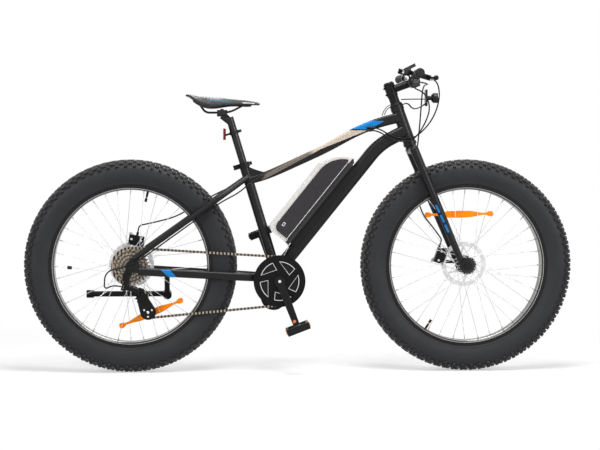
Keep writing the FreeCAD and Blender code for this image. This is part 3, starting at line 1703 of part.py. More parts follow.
def build_display():
    centre = bar_centre + Vector(-s.display_setback, 0, s.display_lift)
    lie = Placement(centre, Rotation(Vector(0, 1, 0), -s.display_tilt))
    slab = block("display_slab", s.display_length, s.display_width, s.display_thickness, lie)
    side = s.bar_clamp_width / 2 + s.display_arm_width / 2 + s.clear_gap
    foot = bar_centre - Vector(0, side, 0)
    way = centre - Vector(0, side, 0) - foot
    clamp = ring(
        "display_clamp",
        s.bar_clamp_radius + s.display_arm_thickness,
        s.bar_clamp_radius,
        -s.display_arm_width / 2,
        s.display_arm_width / 2,
        sideways(foot),
    )
    start = foot + unit(way) * (s.bar_clamp_radius + s.display_arm_thickness / 2)
    length = (centre - Vector(0, side, 0) - start).Length
    arm = block(
        "display_arm",
        s.display_arm_thickness,
        s.display_arm_width,
        length,
        facing(start + unit(way) * (length / 2), way),
    )
    node("display", fuse("display_on_arm", slab, arm, clamp))


def build_headlight():
    axis = facing(head_foot, head_way)
    hub = ring(
        "lamp_ring", s.headset_cap_radius, s.steerer_radius, lamp_ring_base, lamp_ring_base + s.lamp_ring_height, axis
    )
    ring_middle = lamp_ring_base + s.lamp_ring_height / 2
    lamp = on_head(ring_middle) + Vector(s.lamp_forward, 0, s.lamp_rise)
    plate_x = lamp.x - s.lamp_length - s.lamp_plate_thickness
    line = [
        on_head(ring_middle, s.spacer_radius),
        on_head(ring_middle, s.headset_cap_radius + s.lamp_strip_width),
        Vector(lamp.x - s.lamp_length * 3, 0, lamp.z - s.lamp_plate_height * 0.72),
        Vector(plate_x - s.lamp_strip_width, 0, lamp.z - s.lamp_plate_height * 0.55),
        Vector(plate_x, 0, lamp.z - s.lamp_plate_height * 0.3),
    ]
    strip_section = Part.makePolygon([
        Vector(x * s.lamp_strip_thickness / 2, y * s.lamp_strip_width / 2)
        for x, y in ((-1, -1), (1, -1), (1, 1), (-1, 1), (-1, -1))
    ])
    strip = shaped("lamp_strip", swept(line, strip_section, Vector(0, 1, 0)))
    bored = cut(
        "lamp_strip_bored",
        strip,
        bar_tool("lamp_steerer_bore", s.steerer_radius, on_head(lamp_ring_base), on_head(stem_base)),
        bar_tool("lamp_cap_bore", s.headset_cap_radius, on_head(ring_middle), on_head(stem_base)),
    )
    plate = block(
        "lamp_plate",
        s.lamp_plate_thickness,
        s.lamp_plate_width,
        s.lamp_plate_height,
        Placement(Vector(plate_x, 0, lamp.z), Rotation()),
    )
    neck = cylinder(
        "lamp_neck", s.lamp_neck_radius, s.lamp_length, facing(Vector(plate_x, 0, lamp.z), Vector(1, 0, 0))
    )
    glass = s.lamp_radius - s.lamp_strip_thickness / 2
    body = turned(
        "lamp_body",
        [
            (0, -s.lamp_length / 2),
            (s.lamp_radius * 0.7, -s.lamp_length / 2),
            (s.lamp_radius, -s.lamp_length / 4),
            (s.lamp_radius, s.lamp_length / 2),
            (glass, s.lamp_length / 2),
            (glass, s.lamp_length / 2 - s.lamp_strip_thickness),
            (0, s.lamp_length / 2 - s.lamp_strip_thickness),
        ],
        facing(lamp, Vector(1, 0, 0)),
    )
    node("headlight", fuse("headlight_on_strip", hub, bored, plate, neck, body))


# Brakes


def caliper(name, axle, rotor_face, angle, holder, lug_shares, stop_way):
    """A brake caliper over a rotor's edge, with lugs trimmed to the tube that holds it and a turning arm outside."""
    middle = rotor_face + s.rotor_thickness / 2
    centre = axle + polar(s.caliper_orbit, angle) + Vector(0, middle, 0)
    place = Placement(centre, Rotation(Vector(0, 1, 0), -angle))
    width = s.caliper_inner + s.caliper_outer
    body = block(
        f"{name}_caliper_block",
        s.caliper_depth,
        width,
        s.caliper_length,
        place * Placement(Vector(0, width / 2 - s.caliper_inner, 0), Rotation()),
    )
    can_foot = centre + Vector(0, s.caliper_outer, 0)
    can = cylinder(f"{name}_caliper_can", s.caliper_can_radius, s.caliper_can_height, sideways(can_foot))
    arm_face = s.caliper_outer + s.caliper_can_height + s.clear_gap
    pin = cylinder(
        f"{name}_caliper_pin",
        s.caliper_pin_radius,
        s.caliper_can_height + s.caliper_arm_thickness + s.clear_gap,
        sideways(can_foot + Vector(0, s.clear_gap, 0)),
    )
    inset = s.caliper_stop_radius * (1 - stop_way.x)
    stop_foot = Vector(s.caliper_depth / 2 - inset, s.caliper_outer / 2, stop_way.z * s.caliper_length / 2)
    stop_place = facing(place.multVec(stop_foot), place.Rotation * stop_way)
    stop = cylinder(f"{name}_cable_stop", s.caliper_stop_radius, s.caliper_stop_length, stop_place)
    tangent = place.Rotation * Vector(0, 0, 1)
    solid = fuse(f"{name}_caliper_solid", body, can, pin, stop)
    slot_radius = s.rotor_radius + s.caliper_slot
    slot_foot = axle + Vector(0, middle - s.caliper_slot / 2, 0)
    slot = cylinder(f"{name}_rotor_slot", slot_radius, s.caliper_slot, sideways(slot_foot))
    slotted = cut(f"{name}_caliper_body", solid, slot, nodes["seatstays"])
    lugs = []
    for share in lug_shares:
        near = centre + tangent * (share * (s.caliper_length / 2 - s.caliper_stop_radius))
        lugs.append(holder(f"{name}_caliper_lug", near))
    node(f"{name}_caliper", fuse(f"{name}_caliper_on_lugs", slotted, *lugs))

    hub = s.caliper_pin_radius * 2
    reach = s.caliper_arm_length
    toward = place.Rotation * Vector(1, 0, 0) * 0.6 + tangent * 0.8
    tip = Vector(toward.x, toward.z) * reach
    arm = hull_plate(Vector(), hub, tip, s.caliper_arm_width / 2, s.caliper_arm_thickness)
    hole = Part.makeCylinder(s.caliper_pin_radius + s.running_gap, s.caliper_arm_thickness)
    lever = shaped(f"{name}_caliper_lever", arm.cut(hole))
    lever.Placement = upright(can_foot + Vector(0, arm_face - s.caliper_outer + s.caliper_arm_thickness, 0))
    node(f"{name}_caliper_arm", lever)


def build_calipers():
    plate = s.caliper_outer / 2 - s.caliper_slot / 2

    def fork_lug(name, near):
        top = on_head(s.crown_rise)
        foot = on_head(s.leg_foot_rise, s.leg_foot_offset)
        reach = foot.x + (near.z - foot.z) * (top.x - foot.x) / (top.z - foot.z) - near.x
        slab = block(
            name + "_slab",
            reach,
            plate,
            s.caliper_stop_length,
            Placement(near + Vector(reach / 2, s.caliper_outer - plate / 2, 0), Rotation()),
        )
        return cut(name, slab, nodes["fork"])

    def stay_lug(name, near):
        line = seatstay_points(1)
        upper, lower = line[3:5]
        drop = near.z - lower.z - (upper.z - lower.z) * (near.x - lower.x) / (upper.x - lower.x)
        slab = block(
            name + "_slab",
            s.caliper_stop_length,
            plate,
            drop,
            Placement(near + Vector(0, s.caliper_outer - plate / 2, -drop / 2), Rotation()),
        )
        return cut(name, slab, shaped("stay_core", pipe(line, float(s.seatstay_radius))))

    caliper("front", front_axle, s.front_rotor_face, FRONT_CALIPER_ANGLE, fork_lug, (-1, 1), Vector(0, 0, -1))
    caliper("rear", rear_axle, s.rear_rotor_face, REAR_CALIPER_ANGLE, stay_lug, (-1, -0.1), Vector(1, 0, 0))


# Seat


def build_seat_clamp():
    place = facing(bracket, seat_way)
    top = s.seat_tube_length + s.cut_overrun / 2
    middle = top - s.collar_height / 2
    outer = s.seat_tube_radius + s.collar_wall
    collar = ring("seat_collar", outer, s.seat_tube_radius, top - s.collar_height, top, place)
    turn = Placement(on_seat(middle), Rotation(Vector(0, 1, 0), s.seat_angle - 90))
    ear_length = s.clamp_rod_setback - s.seat_tube_radius + s.clamp_rod_radius * 2
    ears = [
        block(
            f"{name}_collar_ear",
            ear_length,
            s.clamp_ear_thickness,
            s.collar_height,
            turn * Placement(
                Vector(-s.seat_tube_radius - ear_length / 2, side * s.clamp_ear_spread / 2, 0), Rotation()
            ),
        )
        for side, name in ((-1, "right"), (1, "left"))
    ]
    pivot_side = s.clamp_ear_spread / 2 + s.clamp_ear_thickness + s.clamp_cam_radius
    rod_start = turn.multVec(Vector(-s.clamp_rod_setback, -pivot_side, 0))
    tie = cylinder("collar_rod", s.clamp_rod_radius, 2 * pivot_side, sideways(rod_start))
    nut = cylinder("collar_nut", s.clamp_rod_radius * 2, s.clamp_ear_thickness, sideways(rod_start))
    pivot = turn.multVec(Vector(-s.clamp_rod_setback, pivot_side, 0))
    pin_half = s.clamp_lever_width / 2 + s.cut_overrun / 2
    pin = cylinder("cam_pin", s.cam_pin_radius, 2 * pin_half, facing(pivot - seat_way * pin_half, seat_way))
    node("seat_clamp", fuse("seat_clamp_body", collar, *ears, tie, nut, pin))

    lever_turn = Placement(pivot, turn.Rotation)
    discs = []
    rod_room = s.clamp_rod_radius + s.clear_gap
    disc_height = s.clamp_lever_width / 2 - rod_room
    for start in (rod_room, -s.clamp_lever_width / 2):
        discs.append(
            cylinder(
                "cam_disc",
                s.clamp_cam_radius,
                disc_height,
                lever_turn * Placement(Vector(0, 0, start), Rotation()),
            )
        )
    length = s.clamp_lever_length
    bar = block(
        "cam_bar",
        length,
        s.clamp_lever_thickness,
        s.clamp_lever_width,
        lever_turn * Placement(Vector(length / 2, s.clamp_cam_radius, 0), Rotation()),
    )
    room = cylinder(
        "cam_rod_room",
        s.cam_pin_radius + s.clear_gap,
        2 * rod_room,
        lever_turn * Placement(Vector(0, 0, -rod_room), Rotation()),
    )
    bore_reach = seat_way * pin_half
    bore = bar_tool("cam_bore", s.cam_pin_radius + s.running_gap, pivot - bore_reach, pivot + bore_reach)
    node("seat_clamp_lever", cut("cam_lever", fuse("cam_lever_solid", *discs, bar), bore, room))


def rail_points(side):
    """A saddle rail's line from the shell's tail, along the clamp, to the nose."""
    height = s.rail_height
    tail = -s.saddle_tail_setback
    length = s.saddle_length
    depth = s.saddle_depth
    spread = s.rail_spread
    return [
        Vector(tail + length * 0.2, side * spread, height + depth * 0.62),
        Vector(tail + length * 0.27, side * spread, height),
        Vector(tail + length * 0.59, side * spread, height),
        Vector(tail + length * 0.78, side * spread * 0.7, height + depth * 0.66),
    ]


def build_seatpost():
    place = facing(bracket, seat_way)
    tube = ring("post_tube", s.post_radius, s.post_bore, s.post_bottom, s.post_top, place)
    jaw_x = on_seat(s.post_top).x - s.post_head_setback
    jaw_centre = Vector(jaw_x, 0, s.rail_height)
    neck_foot = on_seat(s.post_top - s.post_head_radius)
    head = shaped(
        "post_neck", rod(neck_foot, jaw_centre - Vector(0, 0, s.jaw_height), float(s.post_radius))
    )
    saddle_foot = block(
        "post_head",
        s.jaw_length,
        2 * s.post_radius,
        s.jaw_height,
        Placement(jaw_centre - Vector(0, 0, s.jaw_height), Rotation()),
    )
    half_jaw = Vector(0, 0, s.jaw_height / 2)
    lower_place = Placement(jaw_centre - half_jaw, Rotation())
    upper_place = Placement(jaw_centre + half_jaw, Rotation())
    bolt_place = Placement(jaw_centre + half_jaw * 2, Rotation())
    lower = block("lower_jaw", s.jaw_length, s.jaw_width, s.jaw_height, lower_place)
    upper = block("upper_jaw", s.jaw_length, s.jaw_width, s.jaw_height, upper_place)
    bolt_length = 2 * s.jaw_height
    bolt = cylinder("jaw_bolt", 2 * s.jaw_bolt_radius, s.jaw_height / 2, bolt_place)
    grooves = [shaped("rail_groove", pipe(rail_points(side), float(s.rail_radius))) for side in (-1, 1)]
    rails = group("rail_grooves", *grooves)
    trim = cylinder("neck_trim", s.post_radius * 3, bolt_length * 2, Placement(jaw_centre, Rotation()))
    neck = cut("post_neck_trimmed", head, trim)
    body = cut("post_body", fuse("post_solid", tube, neck, saddle_foot, lower), rails)
    clamp = cut("upper_jaw_grooved", upper, rails)
    node("seatpost", body, clamp, bolt)


def saddle_section(station, bottom_lift, top_lift, width_share):
    """One closed section across the saddle: a flat underside, two round flanks and a shallow crown."""
    along, half_share, top_share, under_share = station
    x = -s.saddle_tail_setback + s.saddle_length * along
    half = s.saddle_width / 2 * half_share * width_share
    top = s.saddle_tail_height + s.saddle_depth * top_share + top_lift
    under = s.saddle_tail_height + s.saddle_depth * under_share + bottom_lift
    eave = under + (top - under) * 0.62
    flank = under + (top - under) * 0.3
    points = {
        "left_foot": Vector(x, half * 0.86, under),
        "left_flank": Vector(x, half, flank),
        "left_eave": Vector(x, half * 0.86, eave),
        "crown": Vector(x, 0, top),
        "right_eave": Vector(x, -half * 0.86, eave),
        "right_flank": Vector(x, -half, flank),
        "right_foot": Vector(x, -half * 0.86, under),
    }
    return Part.Wire([
        Part.Arc(points["left_foot"], points["left_flank"], points["left_eave"]).toShape(),
        Part.Arc(points["left_eave"], points["crown"], points["right_eave"]).toShape(),
        Part.Arc(points["right_eave"], points["right_flank"], points["right_foot"]).toShape(),
        Part.LineSegment(points["right_foot"], points["left_foot"]).toShape(),
    ])


def build_saddle():
    thickness = float(s.saddle_shell_thickness)
    cover = Part.makeLoft([saddle_section(row, thickness / 2, 0, 1) for row in SADDLE_SHARES], True, False)
    inner_rows = SADDLE_SHARES[1:-1]
    tray = Part.makeLoft([saddle_section(row, -thickness / 2, -thickness, 0.9) for row in inner_rows], True, False)
    cover_piece = shaped("saddle_cover_form", cover)
    shell_piece = cut("saddle_tray", shaped("saddle_tray_form", tray), cover_piece)
    rails = [
        cut(
            f"{name}_rail",
            shaped(f"{name}_rail_rod", pipe(rail_points(side), float(s.rail_radius))),
            shell_piece,
            cover_piece,
        )
        for side, name in ((-1, "right"), (1, "left"))
    ]
    node("saddle_cover", cover_piece)
    node("saddle_shell", shell_piece, *rails)


def build_rear_reflector():
    place = facing(bracket, seat_way)
    base = s.tail_light_rise
    outer = s.post_radius + s.tail_ring_wall
    clamp = ring("tail_ring", outer, s.post_radius, base, base + s.tail_ring_height, place)
    middle = on_seat(base + s.tail_ring_height / 2)
    lens_centre = middle - Vector(s.tail_light_reach, 0, s.tail_ring_height / 2)
    lens = block(
        "tail_lens",
        s.tail_light_thickness,
        s.tail_light_width,
        s.tail_light_height,
        Placement(lens_centre, Rotation()),
    )
    # The arm leaves the ring square to the post and is cut off flush with the lens's front face.
    turn = Placement(middle, Rotation(Vector(0, 1, 0), s.seat_angle - 90))
    arm = block(
        "tail_arm",
        s.tail_light_reach,
        s.tail_ring_height,
        s.tail_ring_height * 0.6,
        turn * Placement(Vector(-s.tail_light_reach / 2, 0, 0), Rotation()),
    )
    knob_way = polar(1, 90 - s.seat_angle)
    knob_foot = middle + knob_way * (outer - s.tail_ring_wall / 2)
    knob = cylinder("tail_knob", s.tail_knob_radius * 0.8, s.tail_knob_radius * 2, facing(knob_foot, knob_way))
    tool = bar_tool("tail_post_bore", s.post_radius, on_seat(base), on_seat(base + s.tail_ring_height))
    bracket_piece = cut("tail_bracket", fuse("tail_bracket_solid", clamp, arm, knob), tool, lens)
    node("rear_reflector", bracket_piece, lens)


# Drive


def build_motor():
    motor_axis = bracket + Vector(-s.motor_setback, 0, -s.motor_drop)
    length = s.motor_left + s.motor_right
    barrel = cylinder("motor_barrel", s.motor_radius, length, sideways(motor_axis - Vector(0, s.motor_right, 0)))
    case = shaped(
        "gear_case",
        side_plate(bracket, s.gear_case_radius, motor_axis, s.motor_radius, -s.bracket_width / 2, s.gear_case_depth),
    )
    half = s.bracket_width / 2
    sleeve = cylinder(
        "motor_sleeve",
        s.bracket_bore,
        s.bracket_width + s.bracket_nut_height,
        sideways(bracket - Vector(0, half, 0)),
    )
    nut = cylinder("bracket_nut", s.bracket_nut_radius, s.bracket_nut_height, sideways(bracket + Vector(0, half, 0)))
    trimmed = cut("motor_barrel_trimmed", barrel, bracket_tool("motor_bracket_mitre"))
    solid = fuse("motor_solid", trimmed, case, sleeve, nut)
    reach = Vector(0, s.bracket_width, 0)
    bore = bar_tool("spindle_bore", s.spindle_radius + s.running_gap, bracket - reach, bracket + reach)
    node("motor_housing", cut("motor_body", solid, bore))


def sprocket(teeth, thickness, bore, phase):
    """A toothed disc on its own Z axis; phase is the angle of one tooth gap, in radians."""
    pitch = float(s.chain_pitch)
    radius = pitch / (2 * math.sin(math.pi / teeth))
    half = [(along, out) for along, out in TOOTH_SHARES]
    profile = [(-along, out) for along, out in reversed(half[1:])] + half
    corners = []
    for tooth in range(teeth):
        base = phase + tooth * 2 * math.pi / teeth
        for along, out in profile:
            angle = base + along * pitch / radius
            reach = radius + out * pitch
            corners.append(Vector(reach * math.cos(angle), reach * math.sin(angle), 0))
    outline = Part.Face(Part.makePolygon(corners + corners[:1]))
    disc = outline.extrude(Vector(0, 0, thickness))
    disc.translate(Vector(0, 0, -thickness / 2))
    return disc.cut(Part.makeCylinder(bore, thickness * 2, Vector(0, 0, -thickness)))


def wrap_radius(teeth):
    """The radius whose circumference is a whole number of chain pitches."""
    return teeth * float(s.chain_pitch) / (2 * math.pi)


guide_axis = rear_axle + Vector(s.guide_ahead, 0, -s.guide_drop)


def chain_stops(cage_angle):
    """The four toothed wheels in the chain's order: centre, teeth, turning sense and plane."""
    cog_side = -s.largest_cog_face
    tension = guide_axis + polar(s.cage_length, cage_angle)
    return [
        (bracket, RING_TEETH, 1, -s.chainring_face),
        (rear_axle, COG_TEETH[0], 1, cog_side),
        (guide_axis, JOCKEY_TEETH, -1, cog_side),
        (tension, JOCKEY_TEETH, 1, cog_side),
    ]


def tangent_points(first, second):
    """Where the chain leaves one wheel and meets the next."""
    gap = second[0] - first[0]
    heading = Vector(gap.x, 0, gap.z)
    across = Vector(-heading.z, 0, heading.x) / heading.Length
    lean = (second[2] * wrap_radius(second[1]) - first[2] * wrap_radius(first[1])) / heading.Length
    normal = unit(heading) * lean + across * math.sqrt(1 - lean * lean)
    leave = first[0] - normal * (first[2] * wrap_radius(first[1]))
    meet = second[0] - normal * (second[2] * wrap_radius(second[1]))
    return leave, meet


def chain_runs(cage_angle):
    """The chain's closed line as a list of straight runs and wraps, each with its length."""
    stops = chain_stops(cage_angle)
    count = len(stops)
    spans = [tangent_points(stops[index], stops[(index + 1) % count]) for index in range(count)]
    runs = []
    for index, stop in enumerate(stops):
        leave, meet = spans[index]
        arrive = spans[index - 1][1] - stop[0]
        depart = leave - stop[0]
        start = math.atan2(arrive.z, arrive.x)
        sweep = (math.atan2(depart.z, depart.x) - start) * stop[2] % (2 * math.pi)
        radius = wrap_radius(stop[1])
        runs.append({"length": radius * sweep, "stop": stop, "start": start, "radius": radius})
        after = stops[(index + 1) % count]
        runs.append({"length": (meet - leave).Length, "from": leave, "to": meet, "planes": (stop[3], after[3])})
    return runs


def chain_length(cage_angle):
    return sum(run["length"] for run in chain_runs(cage_angle))


def solve_cage_angle():
    """The cage's angle at which the chain is a whole, even number of pitches long."""
    low = -150
    high = -40
    pair = 2 * float(s.chain_pitch)
    wanted = round(chain_length(-72) / pair) * pair
    slope = chain_length(high) - chain_length(low)
    for _ in range(60):
        middle = (low + high) / 2
        if (chain_length(middle) - wanted) * slope > 0:
            high = middle
        else:
            low = middle
    return (low + high) / 2


cage_angle = solve_cage_angle()
tension_axis = guide_axis + polar(s.cage_length, cage_angle)


def chain_point(distance, runs):
    """A point on the chain's line, easing sideways from one wheel's plane to the next along each run."""
    for run in runs:
        if distance <= run["length"]:
            break
        distance -= run["length"]
    if "stop" in run:
        centre, _, sense, plane = run["stop"]
        angle = run["start"] + sense * distance / run["radius"]
        around = Vector(math.cos(angle), 0, math.sin(angle)) * run["radius"]
        return Vector(centre.x + around.x, plane, centre.z + around.z)
    share = distance / run["length"]
    ease = share * share * (3 - 2 * share)
    point = run["from"] + (run["to"] - run["from"]) * share
    return Vector(point.x, run["planes"][0] + (run["planes"][1] - run["planes"][0]) * ease, point.z)


def roller_points():
    runs = chain_runs(cage_angle)
    total = sum(run["length"] for run in runs)
    count = round(total / float(s.chain_pitch))
    return [chain_point(total * index / count, runs) for index in range(count)]


rollers = roller_points()


def gap_angle(centre, teeth):
    """The angle of a tooth gap that holds one of the chain's rollers, in radians in the side view."""
    reach = wrap_radius(teeth)
    nearest = min(rollers, key=lambda point: abs(math.hypot(point.x - centre.x, point.z - centre.z) - reach))
    return math.atan2(nearest.z - centre.z, nearest.x - centre.x)


def build_chain():
    pitch = float(s.chain_pitch)
    inner_face = float(s.roller_half_width)
    plate = float(s.link_plate_thickness)
    outer_face = inner_face + plate + float(s.link_side_gap)
    half_pin = outer_face + plate + float(s.pin_end)
    ends = [Vector(-pitch / 2, 0, 0), Vector(pitch / 2, 0, 0)]

    def pair_of_plates(face):
        flat = hull_plate(ends[0], s.link_plate_radius, ends[1], s.link_plate_radius, plate)
        return [moved(flat, Placement(Vector(0, 0, start), Rotation())) for start in (face, -face - plate)]

    bushes = [Part.makeCylinder(s.roller_radius, 2 * inner_face, end - Vector(0, 0, inner_face)) for end in ends]
    near, far = pair_of_plates(inner_face)
    holes = [
        Part.makeCylinder(s.pin_radius + s.pin_gap, 4 * half_pin, end - Vector(0, 0, 2 * half_pin)) for end in ends
    ]
    inner_link = near.fuse([far, *bushes]).cut(holes)
    pins = [Part.makeCylinder(s.pin_radius, 2 * half_pin, end - Vector(0, 0, half_pin)) for end in ends]
    near, far = pair_of_plates(outer_face)
    outer_link = near.fuse([far, *pins])
    links = []
    for index, point in enumerate(rollers):
        after = rollers[(index + 1) % len(rollers)]
        along = unit(after - point)
        up = unit(along.cross(Vector(0, 1, 0)))
        place = Placement((point + after) / 2, Rotation(along, up, along.cross(up), "XZY"))
        links.append(moved(inner_link if index % 2 else outer_link, place))
    node("chain", shaped("chain_links", Part.makeCompound(links)))


def build_crankset():
    face = s.chainring_face
    ring_plate = shaped(
        "chainring_teeth",
        sprocket(RING_TEETH, float(s.chainring_thickness), float(s.chainring_bore), -gap_angle(bracket, RING_TEETH)),
    )
    ring_plate.Placement = sideways(bracket - Vector(0, face, 0))

    inner = face + s.chainring_thickness / 2 + s.cover_stand_off
    disc_foot = bracket - Vector(0, inner + s.cover_thickness, 0)
    disc = cylinder("cover_disc", s.cover_radius, s.cover_thickness, sideways(disc_foot))
    windows = []
    bolts = []
    for index in range(COVER_WINDOWS):
        lead = 110 + index * FULL_TURN / COVER_WINDOWS
        first = polar(s.cover_window_radius, lead)
        crest = polar(s.cover_window_radius, lead + 26)
        last = polar(s.cover_window_radius, lead + 53)
        root = polar(s.cover_window_inner, lead - 7)
        outline = Part.Wire([
            Part.Arc(first, crest, last).toShape(),
            Part.LineSegment(last, root).toShape(),
            Part.LineSegment(root, first).toShape(),
        ])
        window = Part.Face(outline).extrude(Vector(0, s.cover_thickness * 3, 0))
        windows.append(moved(window, Placement(disc_foot - Vector(0, s.cover_thickness, 0), Rotation())))
        seat = bracket + polar(s.cover_bolt_circle, lead + 62)
        length = s.cover_stand_off + s.cover_thickness + s.cover_bolt_height
        bolts.append(
            cylinder(
                f"cover_bolt_{index}",
                s.cover_bolt_radius,
                length,
                sideways(seat - Vector(0, inner + s.cover_thickness + s.cover_bolt_height, 0)),
            )
        )
    pierced = cut("cover_pierced", disc, shaped("cover_windows", Part.makeCompound(windows)))
    solid = fuse("cover_solid", pierced, *bolts)
    reach = Vector(0, s.crank_root_face, 0)
    bore = bar_tool("cover_spindle_bore", s.spindle_radius, bracket - reach, bracket)
    node("chainring", ring_plate, cut("cover_body", solid, bore))

    outer = s.crank_root_face + s.crank_thickness
    spindle = cylinder("spindle", s.spindle_radius, 2 * outer, sideways(bracket - Vector(0, outer, 0)))
    pieces = [spindle]
    for side in (-1, 1):
        pieces.extend(crank_arm(side))
    node("crank_arms", fuse("crank_solid", *pieces))


def pedal_eye(side):
    """The middle of a crank arm's outer end."""
    angle = -s.crank_angle if side < 0 else 180 - s.crank_angle
    middle = s.crank_root_face + s.crank_flare + s.crank_thickness / 2
    return bracket + polar(s.crank_length, angle) + Vector(0, side * middle, 0)


def crank_arm(side):
    """One crank arm flaring outwards from the spindle to the pedal's eye, and the pedal's own axle."""
    name = "right" if side < 0 else "left"
    root = bracket + Vector(0, side * (s.crank_root_face + s.crank_thickness / 2), 0)
    eye = pedal_eye(side)
    half = s.crank_thickness / 2
    way = eye - root
    flat = hull_plate(
        Vector(), s.crank_root_radius * 0.8, Vector(way.Length, 0), s.crank_eye_radius * 0.8, s.crank_thickness * 0.9
    )
    along = unit(way)
    across = unit(along.cross(Vector(0, 1, 0)))
    place = Placement(root, Rotation(along, across, along.cross(across), "XZY"))
    bar = shaped(
        f"{name}_crank_bar", moved(flat, place * Placement(Vector(0, 0, -s.crank_thickness * 0.45), Rotation()))
    )
    pieces = [bar]
    for label, centre, radius in (("root", root, s.crank_root_radius), ("eye", eye, s.crank_eye_radius)):
        pieces.append(
            cylinder(f"{name}_crank_{label}", radius, s.crank_thickness, sideways(centre - Vector(0, half, 0)))
        )
    cap_start = root + Vector(0, half if side > 0 else -half - s.crank_bolt_height, 0)
    pieces.append(cylinder(f"{name}_crank_cap", s.crank_bolt_radius, s.crank_bolt_height, sideways(cap_start)))
    reach = s.crank_thickness / 2 + s.pedal_width
    axle_start = eye if side > 0 else eye - Vector(0, reach, 0)
    pieces.append(cylinder(f"{name}_pedal_axle", s.pedal_axle_radius, reach, sideways(axle_start)))
    return pieces


def build_pedals():
    for side, name in ((-1, "right"), (1, "left")):
        eye = pedal_eye(side)
        start = s.crank_thickness / 2 + s.clear_gap * 2
        middle = eye + Vector(0, side * (start + s.pedal_width / 2), 0)
        place = Placement(middle, Rotation(Vector(0, 1, 0), s.crank_angle - 90))
        body = block(f"{name}_pedal_slab", s.pedal_length, s.pedal_width, s.pedal_thickness, place)
        room = s.pedal_length / 2 - s.pedal_wall - s.pedal_barrel_radius
        windows = [
            block(
                f"{name}_pedal_window",
                room,
                s.pedal_width - 2 * s.pedal_wall,
                s.pedal_thickness * 2,
                place * Placement(Vector(end * (s.pedal_barrel_radius + room / 2), 0, 0), Rotation()),
            )
            for end in (-1, 1)
        ]
        slabs = [
            block(
                f"{name}_pedal_waist",
                2 * s.pedal_barrel_radius + 2 * room,
                s.pedal_width - 2 * s.pedal_wall,
                s.pedal_thickness,
                place * Placement(Vector(0, 0, end * s.pedal_thickness * 0.9), Rotation()),
            )
            for end in (-1, 1)
        ]
        reach = Vector(0, s.pedal_width / 2, 0)
        bore = bar_tool(f"{name}_pedal_bore", s.pedal_axle_radius + s.running_gap, middle - reach, middle + reach)
        frame = cut(f"{name}_pedal_frame", body, *windows, *slabs, bore)
        lenses = [
            block(
                f"{name}_pedal_lens",
                s.pedal_reflector_depth,
                s.pedal_reflector_width,
                s.pedal_reflector_height,
                place * Placement(Vector(end * (s.pedal_length + s.pedal_reflector_depth) / 2, 0, 0), Rotation()),
            )
            for end in (-1, 1)
        ]
        node(f"pedal_{name}", frame, *lenses)


def build_cassette():
    pieces = []
    for index, teeth in enumerate(COG_TEETH):
        phase = -gap_angle(rear_axle, teeth) if index == 0 else 0
        cog = shaped(f"cog_{teeth}", sprocket(teeth, float(s.cog_thickness), float(s.freehub_radius), phase))
        cog.Placement = sideways(rear_axle - Vector(0, s.largest_cog_face + index * s.cog_spacing, 0))
        pieces.append(cog)
    last = s.largest_cog_face + (len(COG_TEETH) - 1) * s.cog_spacing + s.cog_thickness / 2
    place = sideways(rear_axle)
    bore = s.axle_radius + s.running_gap
    start = s.rear_hub_right_end + s.clear_gap
    freehub = ring("freehub_body", s.freehub_radius, bore, -last, -start, place)
    lock = ring("cassette_lockring", s.lockring_radius, s.axle_radius * 2, -last - s.lockring_height, -last, place)
    node("cassette", freehub, lock, *pieces)


link_way = polar(1, -s.link_dip)
link_axis = polar(1, 90 - s.link_dip)
link_root = rear_axle + Vector(-s.link_pivot_setback, -s.link_middle_face, -s.link_pivot_drop)
link_vector = link_way * (s.link_length * math.cos(math.radians(s.link_yaw))) + Vector(
    0, s.link_length * math.sin(math.radians(s.link_yaw)), 0
)


def link_frame(origin):
    """A placement at a link pivot: Z along the pivots, X forward along the link's plane, Y to the left."""
    return Placement(origin, Rotation(link_way, Vector(0, 1, 0), link_axis, "ZXY"))


def link_ears(name, origin):
    """Two ears above and below the links, with a pin through each link's end."""
    place = link_frame(origin)
    half = s.link_height / 2 + s.clear_gap
    spread = s.link_spacing / 2
    radius = s.link_end_radius + s.link_pin_radius / 2
    ear = hull_plate(Vector(0, -spread), radius, Vector(0, spread), radius, s.ear_thickness)
    pieces = []
    for start in (half, -half - s.ear_thickness):
        pieces.append(shaped(f"{name}_ear", moved(ear, place * Placement(Vector(0, 0, start), Rotation()))))
    for side in (-1, 1):
        foot = Placement(Vector(0, side * spread, -half - s.ear_thickness), Rotation())
        pieces.append(cylinder(f"{name}_pin", s.link_pin_radius, 2 * (half + s.ear_thickness), place * foot))
    return pieces


def ear_web(name, origin, end):
    """A wall joining two ears behind or ahead of the links."""
    place = link_frame(origin)
    radius = s.link_end_radius + s.link_pin_radius / 2
    height = s.link_height + 2 * (s.clear_gap + s.ear_thickness)
    middle = end * (s.link_end_radius + s.ear_thickness)
    width = s.link_spacing + 2 * radius
    return block(
        name, s.ear_thickness * 1.6, width, height, place * Placement(Vector(middle, 0, 0), Rotation())
    )


